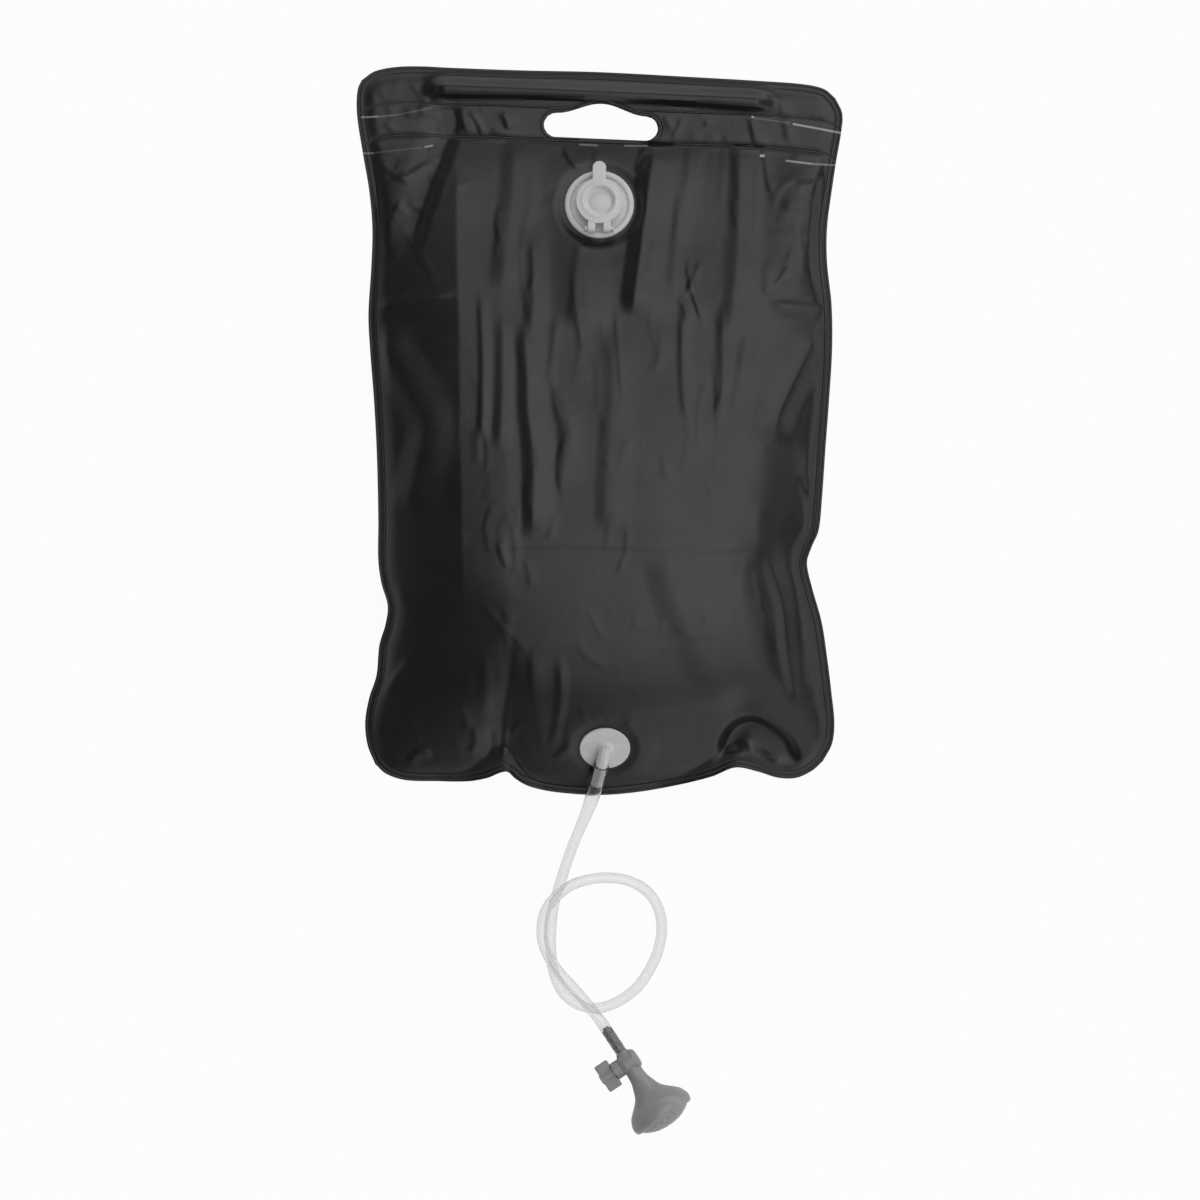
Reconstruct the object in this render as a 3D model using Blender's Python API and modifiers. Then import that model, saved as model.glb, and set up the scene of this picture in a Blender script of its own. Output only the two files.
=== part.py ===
"""Camp shower bag lying on its back: a welded film bag, filler valve, hose and shower head.

Metres, +Z up. The bag lies on the plane z = 0 with its hand hole towards +Y and its print side up.
"""
import math

import bmesh
import bpy
from mathutils import Matrix, Vector

# Film bag
BAG_MIDDLE = 0.1385
BAG_WIDTH = 0.400
BAG_LENGTH = 0.600
FILM = 0.0005
WELD_BAND = 0.006
BULGE_HEIGHT = 0.066
REAR_LIFT_REACH = 0.045
CLEARANCE = 0.0003
CUT_OVERRUN = 0.004

# Hem channel, its rod, and the hand hole under it
ROD_RADIUS = 0.004
ROD_LENGTH = 0.246
ROD_DROP = 0.0180
ROD_SIDE_SHIFT = 0.0008
HEM_TILT = math.radians(-2.4)
CHANNEL_SPARE = 0.005
CHANNEL_END = 0.008
UPPER_WELD_DROP = 0.031
LOWER_WELD_DROP = 0.058
HAND_HOLE_WIDTH = 0.094
HAND_HOLE_HEIGHT = 0.020
HAND_HOLE_ARCH = 0.009
HAND_HOLE_ABOVE_WELD = 0.013
HAND_HOLE_SIDE_SHIFT = 0.0012

# Filler valve
VALVE_DROP = 0.1108
VALVE_HEIGHT = 0.0125
VALVE_TILT = math.radians(-10.0)
FLANGE_RADIUS = 0.0285
FLANGE_THICK = 0.0018
BEAD_HEIGHT = 0.0040
BEAD_WIDTH = 0.0040
NECK_BORE = 0.0150
NECK_WALL = 0.0022
NECK_HEIGHT = 0.0115
CAP_RADIUS = 0.0190
CAP_THICK = 0.0019
PLUG_DEPTH = 0.0070
PLUG_TAPER = 0.0012
PLUG_WALL = 0.0015
DOME_RADIUS = 0.0130
DOME_RISE = 0.0045
TAB_WIDTH = 0.0110
TAB_REACH = 0.0145
HINGE_REACH = 0.0226
HINGE_BAR = 0.0015
HOOK_WALL = 0.0014
HOOK_WIDTH = 0.0060
HOOK_GAP = 0.0068
HINGE_POST = 0.0022

# Outlet spout
OUTLET_RISE_FROM_SEAM = 0.0341
OUTLET_SIDE_SHIFT = 0.0045
OUTLET_HEIGHT = 0.0312
OUTLET_TILT = math.radians(35.5)
OUTLET_RADIUS = 0.0206
OUTLET_THICK = 0.0018
SPOUT_RADIUS = 0.0052
SPOUT_END_RADIUS = 0.0046
SPOUT_BORE = 0.0030
SPOUT_RISE = 0.0088
SPOUT_BEND = 0.0070
SPOUT_LENGTH = 0.0315
SPOUT_SWING = math.radians(12.9)
SPOUT_BARB = 0.0002

# Hose
HOSE_RADIUS = 0.0043
HOSE_WALL = 0.0010
HOSE_FLARE = 0.0062
HOSE_HEAD_FLARE = 0.0047
HOSE_OVERLAP = 0.0192
HOSE_LEAD = 0.0050
HOSE_SPOUT_TAPER = 0.0500
HOSE_HEAD_TAPER = 0.0120

# Shower head, measured along its axis from the tip of the barbed stem
HEAD_TIP = (0.0046, -0.3517, 0.0147)
HEAD_TURN = math.radians(-55.96)
HEAD_PITCH = math.radians(8.5)
STEM_LENGTH = 0.0238
BARB_EASE = 0.0002
BARB_RADIUS = HOSE_HEAD_FLARE - HOSE_WALL - BARB_EASE
BARB_PROUD = 0.0004
STEM_RADIUS = BARB_RADIUS - BARB_PROUD
BARB_PITCH = 0.0065
BARB_COUNT = 3
WATER_BORE = 0.0020
NECK_RADIUS = 0.0064
HEAD_LENGTH = 0.0880
BELL_RADIUS = 0.0270
ROSE_RECESS = 0.0030
ROSE_RADIUS = 0.0238
ROSE_THICK = 0.0018
ROSE_DOME = 0.0082
ROSE_FULLNESS_SHARE = 2.4
ROSE_HOLE = 0.0009
ROSE_RING_PITCH = 0.0062
ROSE_RINGS = 3

# Tap across the head
TAP_PLACE = 0.0343
BOSS_RADIUS = 0.0088
BOSS_END_WALL = 0.0026
BOSS_ROUND = 0.0042
TAP_RADIUS = 0.0063
TAP_HALF = 0.0065
COLLAR_RADIUS = 0.0074
COLLAR_LENGTH = 0.0064
HANDLE_LENGTH = 0.0240
HANDLE_DEPTH = 0.0130
HANDLE_THICK = 0.0056
HANDLE_ROUND = 0.0012
BARREL_RADIUS = 0.0045
RING_CORD = 0.0007
RING_PLACE = 0.0043

# Facets
ROUND_STEPS = 28
SMALL_STEPS = 16
HOSE_SIDES_RESOLUTION = 3

# Outline of the film, clockwise sides as shares of half the width and half the length,
# with the height of the edge as a share of the bulge
TOP_EDGE_SHARES = (
    (-0.979, 0.962, 0), (-0.926, 0.986, 0), (-0.840, 0.998, 0), (-0.737, 1.000, 0),
    (-0.614, 0.996, 0), (-0.326, 0.989, 0), (0.002, 0.984, 0), (0.372, 0.971, 0),
    (0.680, 0.959, 0), (0.849, 0.950, 0), (0.927, 0.937, 0), (0.972, 0.912, 0))
RIGHT_EDGE_SHARES = (
    (0.919, -0.907, 0.08), (0.956, -0.860, 0.10), (0.965, -0.800, 0.15), (0.952, -0.717, 0.20),
    (0.935, -0.630, 0.26), (0.910, -0.525, 0.31), (0.869, -0.429, 0.36), (0.849, -0.364, 0.38),
    (0.869, -0.320, 0.34), (0.898, -0.276, 0.30), (0.912, -0.191, 0.27), (0.927, -0.053, 0.24),
    (0.943, 0.084, 0.20), (0.956, 0.221, 0.16), (0.954, 0.344, 0.14), (0.936, 0.462, 0.11),
    (0.937, 0.556, 0.07), (0.956, 0.654, 0.03), (0.976, 0.742, 0), (0.997, 0.824, 0),
    (1.000, 0.871, 0), (0.972, 0.912, 0))
BOTTOM_EDGE_SHARES = (
    (-0.922, -0.915, 0.08), (-0.877, -0.942, 0.08), (-0.799, -0.959, 0.08),
    (-0.675, -0.962, 0.09), (-0.540, -0.962, 0.13), (-0.458, -0.952, 0.20),
    (-0.408, -0.938, 0.25), (-0.376, -0.935, 0.26), (-0.343, -0.955, 0.21),
    (-0.289, -0.976, 0.13), (-0.182, -0.992, 0.07), (0.002, -1.000, 0.05),
    (0.167, -0.991, 0.07), (0.331, -0.971, 0.13), (0.463, -0.948, 0.22), (0.557, -0.923, 0.28),
    (0.647, -0.934, 0.23), (0.734, -0.952, 0.13), (0.808, -0.953, 0.09), (0.873, -0.934, 0.08),
    (0.919, -0.907, 0.08))
LEFT_EDGE_SHARES = (
    (-0.922, -0.915, 0.08), (-0.953, -0.863, 0.10), (-0.962, -0.800, 0.14),
    (-0.945, -0.734, 0.19), (-0.914, -0.671, 0.24), (-0.901, -0.588, 0.29),
    (-0.875, -0.531, 0.34), (-0.866, -0.481, 0.36), (-0.893, -0.418, 0.32),
    (-0.906, -0.355, 0.29), (-0.906, -0.246, 0.27), (-0.912, -0.081, 0.24),
    (-0.924, 0.070, 0.20), (-0.942, 0.221, 0.16), (-0.949, 0.317, 0.14), (-0.938, 0.446, 0.11),
    (-0.934, 0.550, 0.07), (-0.947, 0.654, 0.03), (-0.975, 0.764, 0), (-0.996, 0.852, 0),
    (-1.000, 0.901, 0), (-0.994, 0.940, 0), (-0.979, 0.962, 0))

# Columns of the film's mesh besides those at the rod's ends, as shares of half the width
COLUMN_SHARES = (0.0, 0.090, 0.185, 0.300, 0.450, 0.810, 0.900)
# Rows over the rod, as shares of its radius from its axis
ROD_ROW_SHARES = (-1.7, -0.7, 0.3, 1.3, 2.4)
# Rows down the water chamber, as shares of its length from the lower weld to the bottom
CHAMBER_ROW_SHARES = (
    0.012, 0.036, 0.064, 0.094, 0.124, 0.154, 0.200, 0.270, 0.350, 0.435, 0.520, 0.600, 0.675,
    0.740, 0.795, 0.845, 0.890, 0.930, 0.970)
# Height of the print side down the chamber: place and height as shares of length and bulge
CROWN_SHARES = (
    (0.0, 0.0), (0.045, 0.10), (0.098, 0.19), (0.153, 0.28), (0.246, 0.455), (0.37, 0.65),
    (0.494, 0.82), (0.618, 0.93), (0.71, 0.985), (0.788, 1.0), (0.834, 0.955), (0.865, 0.86),
    (0.907, 0.64), (0.94, 0.45), (0.971, 0.26), (1.0, 0.10))
BULGE_POWER_SHARE = 2.5
BULGE_ROUND_SHARE = 0.85

# Bell of the shower head: radius and place as shares of its radius and of the head's length
BELL_OUTER_SHARES = (
    (0.925, 1.000), (0.965, 0.990), (0.990, 0.972), (1.000, 0.945), (0.985, 0.912),
    (0.890, 0.850), (0.780, 0.814), (0.648, 0.778), (0.502, 0.734), (0.414, 0.693),
    (0.344, 0.636), (0.283, 0.580), (0.262, 0.534))
BELL_INNER_SHARES = (
    (0.074, 0.568), (0.167, 0.625), (0.319, 0.705), (0.541, 0.784), (0.770, 0.852),
    (0.845, 0.909))

# Free run of the hose, chosen by hand, from the bag's lower edge to the head
HOSE_ROUTE = (
    (-0.0065, -0.1649, 0.0132), (-0.0106, -0.1764, 0.0096), (-0.0159, -0.1887, 0.0070),
    (-0.0213, -0.2019, 0.0054), (-0.0270, -0.2175, 0.0047), (-0.0328, -0.2357, 0.0045),
    (-0.0377, -0.2529, 0.0045), (-0.0398, -0.2727, 0.0045), (-0.0399, -0.2900, 0.0045),
    (-0.0373, -0.3081, 0.0045), (-0.0295, -0.3245, 0.0045), (-0.0172, -0.3340, 0.0045),
    (-0.0020, -0.3369, 0.0045), (0.0136, -0.3324, 0.0045), (0.0297, -0.3212, 0.0045),
    (0.0399, -0.3077, 0.0045), (0.0477, -0.2916, 0.0045), (0.0513, -0.2727, 0.0045),
    (0.0485, -0.2546, 0.0049), (0.0387, -0.2402, 0.0062), (0.0227, -0.2315, 0.0088),
    (0.0054, -0.2291, 0.0116), (-0.0098, -0.2307, 0.0136), (-0.0225, -0.2348, 0.0140),
    (-0.0340, -0.2431, 0.0140), (-0.0435, -0.2546, 0.0140), (-0.0471, -0.2686, 0.0140),
    (-0.0463, -0.2817, 0.0140), (-0.0410, -0.2949, 0.0140), (-0.0328, -0.3068, 0.0140),
    (-0.0229, -0.3175, 0.0140), (-0.0131, -0.3287, 0.0140))
HOSE_POINT_STEP = HOSE_RADIUS * 4.0

FILM_BLACK = (0.018, 0.018, 0.019, 1.0)
ROD_GREY = (0.30, 0.30, 0.31, 1.0)
VALVE_GREY = (0.42, 0.42, 0.42, 1.0)
CLEAR_HOSE = (0.80, 0.81, 0.81, 1.0)
HEAD_GREY = (0.19, 0.19, 0.19, 1.0)
RING_BLACK = (0.02, 0.02, 0.02, 1.0)


def clear_scene():
    for item in list(bpy.data.objects):
        bpy.data.objects.remove(item, do_unlink=True)


def make_collection(name):
    group = bpy.data.collections.new(name)
    bpy.context.scene.collection.children.link(group)
    return group


def make_material(name, colour, roughness):
    material = bpy.data.materials.new(name)
    material.use_nodes = True
    shader = material.node_tree.nodes["Principled BSDF"]
    shader.inputs["Base Color"].default_value = colour
    shader.inputs["Roughness"].default_value = roughness
    shader.inputs["Metallic"].default_value = 0.0
    return material


def place_empty(name, matrix, parent=None):
    empty = bpy.data.objects.new(name, None)
    PARTS.objects.link(empty)
    empty.parent = parent
    empty.matrix_basis = matrix
    return empty


def object_from_mesh(name, bm, parent, group):
    mesh = bpy.data.meshes.new(name)
    bm.to_mesh(mesh)
    bm.free()
    item = bpy.data.objects.new(name, mesh)
    group.objects.link(item)
    item.parent = parent
    return item


def finish_part(item, material, smooth_angle=math.radians(40.0)):
    item.data.materials.append(material)
    item.data.shade_smooth()
    item.data.set_sharp_from_angle(angle=smooth_angle)
    return item


def as_cutter(item):
    item.hide_render = True
    item.display_type = "WIRE"
    return item


def combine(item, other, operation):
    step = item.modifiers.new(operation.lower(), "BOOLEAN")
    step.operation = operation
    step.object = as_cutter(other)
    return step


def turned(name, profile, parent, group, closed, steps=ROUND_STEPS):
    """A body of revolution about its own Z, from (radius, height) points, top to bottom outside."""
    bm = bmesh.new()
    corners = [bm.verts.new((radius, 0.0, height)) for radius, height in profile]
    for start, end in zip(corners, corners[1:]):
        bm.edges.new((start, end))
    if closed:
        bm.edges.new((corners[-1], corners[0]))
    item = object_from_mesh(name, bm, parent, group)
    screw = item.modifiers.new("turn", "SCREW")
    screw.steps = steps
    screw.render_steps = steps
    screw.use_merge_vertices = True
    screw.merge_threshold = CLEARANCE / 10.0
    return item


def cylinder(name, radius, low, high, parent, group, steps=ROUND_STEPS):
    """A cylinder along its own Z from low to high."""
    bm = bmesh.new()
    bmesh.ops.create_cone(bm, cap_ends=True, segments=steps, radius1=radius, radius2=radius,
                          depth=high - low)
    bmesh.ops.translate(bm, vec=(0.0, 0.0, (low + high) / 2.0), verts=bm.verts)
    return object_from_mesh(name, bm, parent, group)


def box(name, low, high, parent, group):
    bm = bmesh.new()
    bmesh.ops.create_cube(bm, size=1.0)
    size = [top - bottom for bottom, top in zip(low, high)]
    middle = [(top + bottom) / 2.0 for bottom, top in zip(low, high)]
    bmesh.ops.scale(bm, vec=size, verts=bm.verts)
    bmesh.ops.translate(bm, vec=middle, verts=bm.verts)
    return object_from_mesh(name, bm, parent, group)


def mesh_object(name, source, group):
    """The curve as a welded mesh object in the same place; the curve is removed."""
    bpy.context.view_layer.update()
    evaluated = source.evaluated_get(bpy.context.evaluated_depsgraph_get())
    mesh = bpy.data.meshes.new_from_object(evaluated)
    bm = bmesh.new()
    bm.from_mesh(mesh)
    bmesh.ops.remove_doubles(bm, verts=bm.verts, dist=CLEARANCE / 10.0)
    bm.to_mesh(mesh)
    bm.free()
    item = bpy.data.objects.new(name, mesh)
    group.objects.link(item)
    item.parent = source.parent
    item.matrix_basis = source.matrix_basis
    bpy.data.objects.remove(source, do_unlink=True)
    return item


def tube(name, points, radii, parent, group, capped=True, resolution=HOSE_SIDES_RESOLUTION):
    """A round bar along the points, with a radius at each."""
    curve = bpy.data.curves.new(name, "CURVE")
    curve.dimensions = "3D"
    curve.bevel_depth = 1.0
    curve.bevel_resolution = resolution
    curve.use_fill_caps = capped
    spline = curve.splines.new("POLY")
    spline.points.add(len(points) - 1)
    for place, point, radius in zip(spline.points, points, radii):
        place.co = (*point, 1.0)
        place.radius = radius
    source = bpy.data.objects.new(name + "_line", curve)
    group.objects.link(source)
    source.parent = parent
    return mesh_object(name, source, group)


def slab(name, outline, thickness, parent, group):
    """A flat outline in its own XY plane, thickened evenly to both sides."""
    curve = bpy.data.curves.new(name, "CURVE")
    curve.dimensions = "2D"
    curve.fill_mode = "BOTH"
    curve.extrude = thickness / 2.0
    spline = curve.splines.new("POLY")
    spline.points.add(len(outline) - 1)
    spline.use_cyclic_u = True
    for place, point in zip(spline.points, outline):
        place.co = (point[0], point[1], 0.0, 1.0)
    source = bpy.data.objects.new(name + "_line", curve)
    group.objects.link(source)
    source.parent = parent
    return mesh_object(name, source, group)


def arc(centre, radius, start, end, steps):
    """Points on a circle in a plane, from one angle to another."""
    turn = (end - start) / steps
    return [(centre[0] + radius * math.cos(start + turn * i),
             centre[1] + radius * math.sin(start + turn * i)) for i in range(steps + 1)]


def smooth_points(points, per_span=12):
    """A smooth curve through the points, with many points along each span."""
    points = [Vector(point) for point in points]
    ends = [points[0] * 2.0 - points[1]] + points + [points[-1] * 2.0 - points[-2]]
    result = [points[0]]
    for before, start, end, after in zip(ends, ends[1:], ends[2:], ends[3:]):
        span = (end - start).length
        leave = (end - before) * (span / ((end - start).length + (start - before).length))
        arrive = (after - start) * (span / ((after - end).length + (end - start).length))
        for i in range(1, per_span + 1):
            t = i / per_span
            result.append(start * (2 * t ** 3 - 3 * t ** 2 + 1) + leave * (t ** 3 - 2 * t ** 2 + t)
                          + end * (3 * t ** 2 - 2 * t ** 3) + arrive * (t ** 3 - t ** 2))
    return result


def path_lengths(points):
    lengths = [0.0]
    for start, end in zip(points, points[1:]):
        lengths.append(lengths[-1] + (end - start).length)
    return lengths


def point_along(points, lengths, share):
    """The point at a share of the path's length."""
    target = share * lengths[-1]
    for i in range(1, len(points)):
        if lengths[i] >= target:
            span = lengths[i] - lengths[i - 1]
            return points[i - 1].lerp(points[i], (target - lengths[i - 1]) / span)
    return points[-1]


def read_table(table, share):
    """A straight-line reading between the rows of a (place, value) table."""
    for (left, low), (right, high) in zip(table, table[1:]):
        if share <= right:
            return low + (high - low) * (share - left) / (right - left)
    return table[-1][1]


def ease(value):
    value = min(max(value, 0.0), 1.0)
    return value * value * (3.0 - 2.0 * value)


class FilmSheet:
    """The seam surface of the bag: a patch stretched between its four outline curves."""

    def __init__(self):
        size = (BAG_WIDTH / 2.0, BAG_LENGTH / 2.0, BULGE_HEIGHT)
        self.sides = {}
        for name, shares in (("top", TOP_EDGE_SHARES), ("right", RIGHT_EDGE_SHARES),
                             ("bottom", BOTTOM_EDGE_SHARES), ("left", LEFT_EDGE_SHARES)):
            corners = [Vector([share * full for share, full in zip(point, size)])
                       for point in shares]
            points = smooth_points([corner + Vector((0.0, BAG_MIDDLE, 0.0))
                                    for corner in corners])
            self.sides[name] = (points, path_lengths(points))

    def edge(self, name, share):
        points, lengths = self.sides[name]
        return point_along(points, lengths, share)

    def seam(self, across, up):
        """The seam surface at a share of the width and a share of the length from the bottom."""
        bottom, top = self.edge("bottom", across), self.edge("top", across)
        left, right = self.edge("left", up), self.edge("right", up)
        low = self.edge("bottom", 0.0).lerp(self.edge("bottom", 1.0), across)
        high = self.edge("top", 0.0).lerp(self.edge("top", 1.0), across)
        return bottom.lerp(top, up) + left.lerp(right, across) - low.lerp(high, up)


def column_places():
    """Shares of the width for the columns of the film's mesh, left to right."""
    weld = 1.0 - 2.0 * WELD_BAND / BAG_WIDTH
    rod_end = (ROD_LENGTH + CHANNEL_SPARE) / BAG_WIDTH
    channel_end = rod_end + 2.0 * CHANNEL_END / BAG_WIDTH
    half = sorted([share * weld for share in COLUMN_SHARES] + [rod_end, channel_end])
    half += [(half[-1] + weld) / 2.0, weld, 1.0]
    return [(1.0 - place) / 2.0 for place in reversed(half[1:])] + \
           [(1.0 + place) / 2.0 for place in half]


def row_drops():
    """Distances from the top edge for the rows of the film's mesh."""
    drops = [0.0, WELD_BAND]
    drops += [ROD_DROP + share * ROD_RADIUS for share in ROD_ROW_SHARES]
    band = LOWER_WELD_DROP - UPPER_WELD_DROP
    drops += [UPPER_WELD_DROP, UPPER_WELD_DROP + band / 3.0, UPPER_WELD_DROP + band * 2.0 / 3.0]
    drops += [LOWER_WELD_DROP]
    drops += [LOWER_WELD_DROP + share * chamber_length() for share in CHAMBER_ROW_SHARES]
    drops += [BAG_LENGTH - WELD_BAND, BAG_LENGTH]
    return drops


def chamber_length():
    return BAG_LENGTH - WELD_BAND - LOWER_WELD_DROP


def crown_height(drop):
    share = (drop - LOWER_WELD_DROP) / chamber_length()
    return BULGE_HEIGHT * read_table(CROWN_SHARES, min(max(share, 0.0), 1.0))


def top_middle():
    """Where the bag's top edge crosses its middle line, along Y."""
    edge = [point[:2] for point in TOP_EDGE_SHARES]
    return BAG_MIDDLE + BAG_LENGTH / 2.0 * read_table(edge, 0.0)


def rod_centre():
    return Vector((ROD_SIDE_SHIFT, top_middle() - ROD_DROP, FILM + CLEARANCE + ROD_RADIUS))


def channel_height(place):
    """How far the print side stands up over the rod."""
    centre = rod_centre()
    along = Vector((math.cos(HEM_TILT), math.sin(HEM_TILT)))
    offset = Vector((place[0] - centre[0], place[1] - centre[1]))
    beyond = abs(offset.dot(along)) - ROD_LENGTH / 2.0 - CHANNEL_SPARE
    aside = abs(offset.x * along.y - offset.y * along.x)
    flat = ROD_RADIUS * 1.1
    slope = ROD_RADIUS * 1.9
    full = 2.0 * (ROD_RADIUS + CLEARANCE)
    return full * (1.0 - ease((aside - flat) / slope)) * (1.0 - ease(beyond / CHANNEL_END))


def valve_centre():
    return Vector((0.0, top_middle() - VALVE_DROP, VALVE_HEIGHT))


def outlet_centre():
    bottom = BAG_MIDDLE - BAG_LENGTH / 2.0
    return Vector((OUTLET_SIDE_SHIFT, bottom + WELD_BAND + OUTLET_RISE_FROM_SEAM, OUTLET_HEIGHT))


def level_patch(height, place, centre, tilt, radius):
    """The height, levelled to a tilted plane under a welded-on fitting."""
    distance = math.hypot(place[0] - centre[0], (place[1] - centre[1]) / math.cos(tilt))
    weight = 1.0 - ease((distance - radius * 1.5) / (radius * 0.8))
    plane = centre[2] + math.tan(tilt) * (place[1] - centre[1])
    return height + (plane - height) * weight


def print_side_height(place, across, drop):
    """Height of the print side's inner face over the seam surface's foot."""
    if drop < LOWER_WELD_DROP:
        if drop <= WELD_BAND:
            return place[2]
        return place[2] + channel_height(place)
    half = 1.0 - 2.0 * WELD_BAND / BAG_WIDTH
    aside = min(abs(2.0 * across - 1.0) / half, 1.0)
    fall = (1.0 - aside ** BULGE_POWER_SHARE) ** BULGE_ROUND_SHARE
    height = place[2] + max(crown_height(drop) - place[2], 0.0) * fall
    if aside < 1.0 and drop < BAG_LENGTH - WELD_BAND:
        height = level_patch(height, place, valve_centre(), VALVE_TILT, FLANGE_RADIUS)
        height = level_patch(height, place, outlet_centre(), OUTLET_TILT, OUTLET_RADIUS)
    return height


def film_grid(name, height_of):
    """A grid stretched over the bag's outline, at the heights that height_of gives."""
    sheet = FilmSheet()
    columns = column_places()
    rows = row_drops()
    bm = bmesh.new()
    bmesh.ops.create_grid(bm, x_segments=len(columns) - 1, y_segments=len(rows) - 1, size=1.0)
    for vertex in bm.verts:
        column = round((vertex.co.x + 1.0) / 2.0 * (len(columns) - 1))
        row = round((1.0 - vertex.co.y) / 2.0 * (len(rows) - 1))
        across = columns[column]
        drop = rows[row]
        place = sheet.seam(across, 1.0 - drop / BAG_LENGTH)
        place[2] = max(place[2], 0.0)
        vertex.co = (place[0], place[1], height_of(place, across, drop))
    return object_from_mesh(name, bm, None, PARTS)


def thicken(item, offset, thickness=FILM):
    shell = item.modifiers.new("wall", "SOLIDIFY")
    shell.thickness = thickness
    shell.offset = offset
    return shell


def hand_hole_cutter():
    """A slot with round ends and an arched top, through both panels."""
    end = HAND_HOLE_HEIGHT / 2.0
    reach = HAND_HOLE_WIDTH / 2.0 - end
    outline = arc((reach, 0.0), end, -math.pi / 2.0, math.pi / 2.0, SMALL_STEPS // 2)
    arch_steps = SMALL_STEPS // 2
    for i in range(1, arch_steps):
        across = reach * (1.0 - 2.0 * i / arch_steps)
        lift = HAND_HOLE_ARCH * math.cos(across / reach * math.pi / 2.0) ** 2
        outline.append((across, end + lift))
    outline += arc((-reach, 0.0), end, math.pi / 2.0, math.pi * 1.5, SMALL_STEPS // 2)
    centre = Vector((HAND_HOLE_SIDE_SHIFT,
                     top_middle() - LOWER_WELD_DROP + HAND_HOLE_ABOVE_WELD, 0.0))
    frame = place_empty("hand_hole_place",
                        Matrix.Translation(centre) @ Matrix.Rotation(HEM_TILT, 4, "Z"))
    return slab("hand_hole_cutter", outline, CUT_OVERRUN * 2.0, frame, CUTTERS)


def make_panels(valve, outlet):
    front = film_grid("front_panel", lambda place, across, drop:
                      FILM + CLEARANCE + print_side_height(place, across, drop))
    thicken(front, 1.0)

    def rear_height(place, across, drop):
        side = min(across, 1.0 - across) * BAG_WIDTH
        end = min(drop, BAG_LENGTH - drop)
        return FILM + place[2] * (1.0 - ease((min(side, end) - WELD_BAND) / REAR_LIFT_REACH))

    rear = film_grid("rear_panel", rear_height)
    thicken(rear, -1.0)
    hole = hand_hole_cutter()
    combine(front, hole, "DIFFERENCE")
    combine(rear, hole, "DIFFERENCE")
    neck_hole = cylinder("neck_hole_cutter", NECK_BORE + NECK_WALL, -CUT_OVERRUN, CUT_OVERRUN,
                         valve, CUTTERS)
    combine(front, neck_hole, "DIFFERENCE")
    spout_hole = cylinder("spout_hole_cutter", SPOUT_RADIUS + CLEARANCE, -CUT_OVERRUN,
                          CUT_OVERRUN, outlet, CUTTERS, SMALL_STEPS)
    combine(front, spout_hole, "DIFFERENCE")
    film = make_material("black_film", FILM_BLACK, 0.38)
    finish_part(front, film)
    finish_part(rear, film.copy())


def make_rod():
    rod = cylinder("hem_rod", ROD_RADIUS, -ROD_LENGTH / 2.0, ROD_LENGTH / 2.0, None, PARTS,
                   SMALL_STEPS)
    rod.matrix_basis = Matrix.Translation(rod_centre()) @ \
        Matrix.Rotation(HEM_TILT, 4, "Z") @ Matrix.Rotation(math.pi / 2.0, 4, "Y")
    finish_part(rod, make_material("rod_plastic", ROD_GREY, 0.5))


def hinge_height():
    """Height of the hinge bar, a little low so that the hooks stay under the cap's top."""
    top = CLEARANCE * 2.0 + NECK_HEIGHT + CAP_THICK
    return top - HINGE_BAR - CLEARANCE - HOOK_WALL - CLEARANCE


def make_filler_flange(valve):
    """The valve's base: weld flange with a rounded bead, groove, neck and hinge bar."""
    foot = CLEARANCE
    groove = foot + FLANGE_THICK
    bead = foot + BEAD_HEIGHT
    soft = BEAD_WIDTH / 4.0
    profile = [
        (FLANGE_RADIUS - soft, bead - soft / 2.0), (FLANGE_RADIUS, bead - soft * 1.5),
        (FLANGE_RADIUS, foot), (NECK_BORE, foot), (NECK_BORE, foot + NECK_HEIGHT),
        (NECK_BORE + NECK_WALL * 0.7, foot + NECK_HEIGHT),
        (NECK_BORE + NECK_WALL * 0.9, foot + NECK_HEIGHT - NECK_WALL * 0.3),
        (NECK_BORE + NECK_WALL, groove), (FLANGE_RADIUS - BEAD_WIDTH, groove),
        (FLANGE_RADIUS - BEAD_WIDTH + soft / 2.0, bead - soft / 2.0),
        (FLANGE_RADIUS - BEAD_WIDTH / 2.0, bead)]
    flange = turned("filler_flange", profile, valve, PARTS, closed=True)
    height = hinge_height()
    inner = HOOK_GAP / 2.0 + HOOK_WIDTH + CLEARANCE
    outer = inner + HINGE_POST
    bar = cylinder("hinge_bar", HINGE_BAR, -outer + HINGE_POST / 4.0, outer - HINGE_POST / 4.0,
                   valve, CUTTERS, SMALL_STEPS)
    bar.matrix_basis = Matrix.Translation((0.0, -HINGE_REACH, height)) @ \
        Matrix.Rotation(math.pi / 2.0, 4, "Y")
    combine(flange, bar, "UNION")
    for side in (-1.0, 1.0):
        near, far = sorted((side * inner, side * outer))
        post = box("hinge_post", (near, -HINGE_REACH - HINGE_BAR, foot + FLANGE_THICK / 2.0),
                   (far, -HINGE_REACH + HINGE_BAR, height + HINGE_BAR * 0.8), valve, CUTTERS)
        combine(flange, post, "UNION")
    finish_part(flange, make_material("valve_plastic", VALVE_GREY, 0.35))


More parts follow.
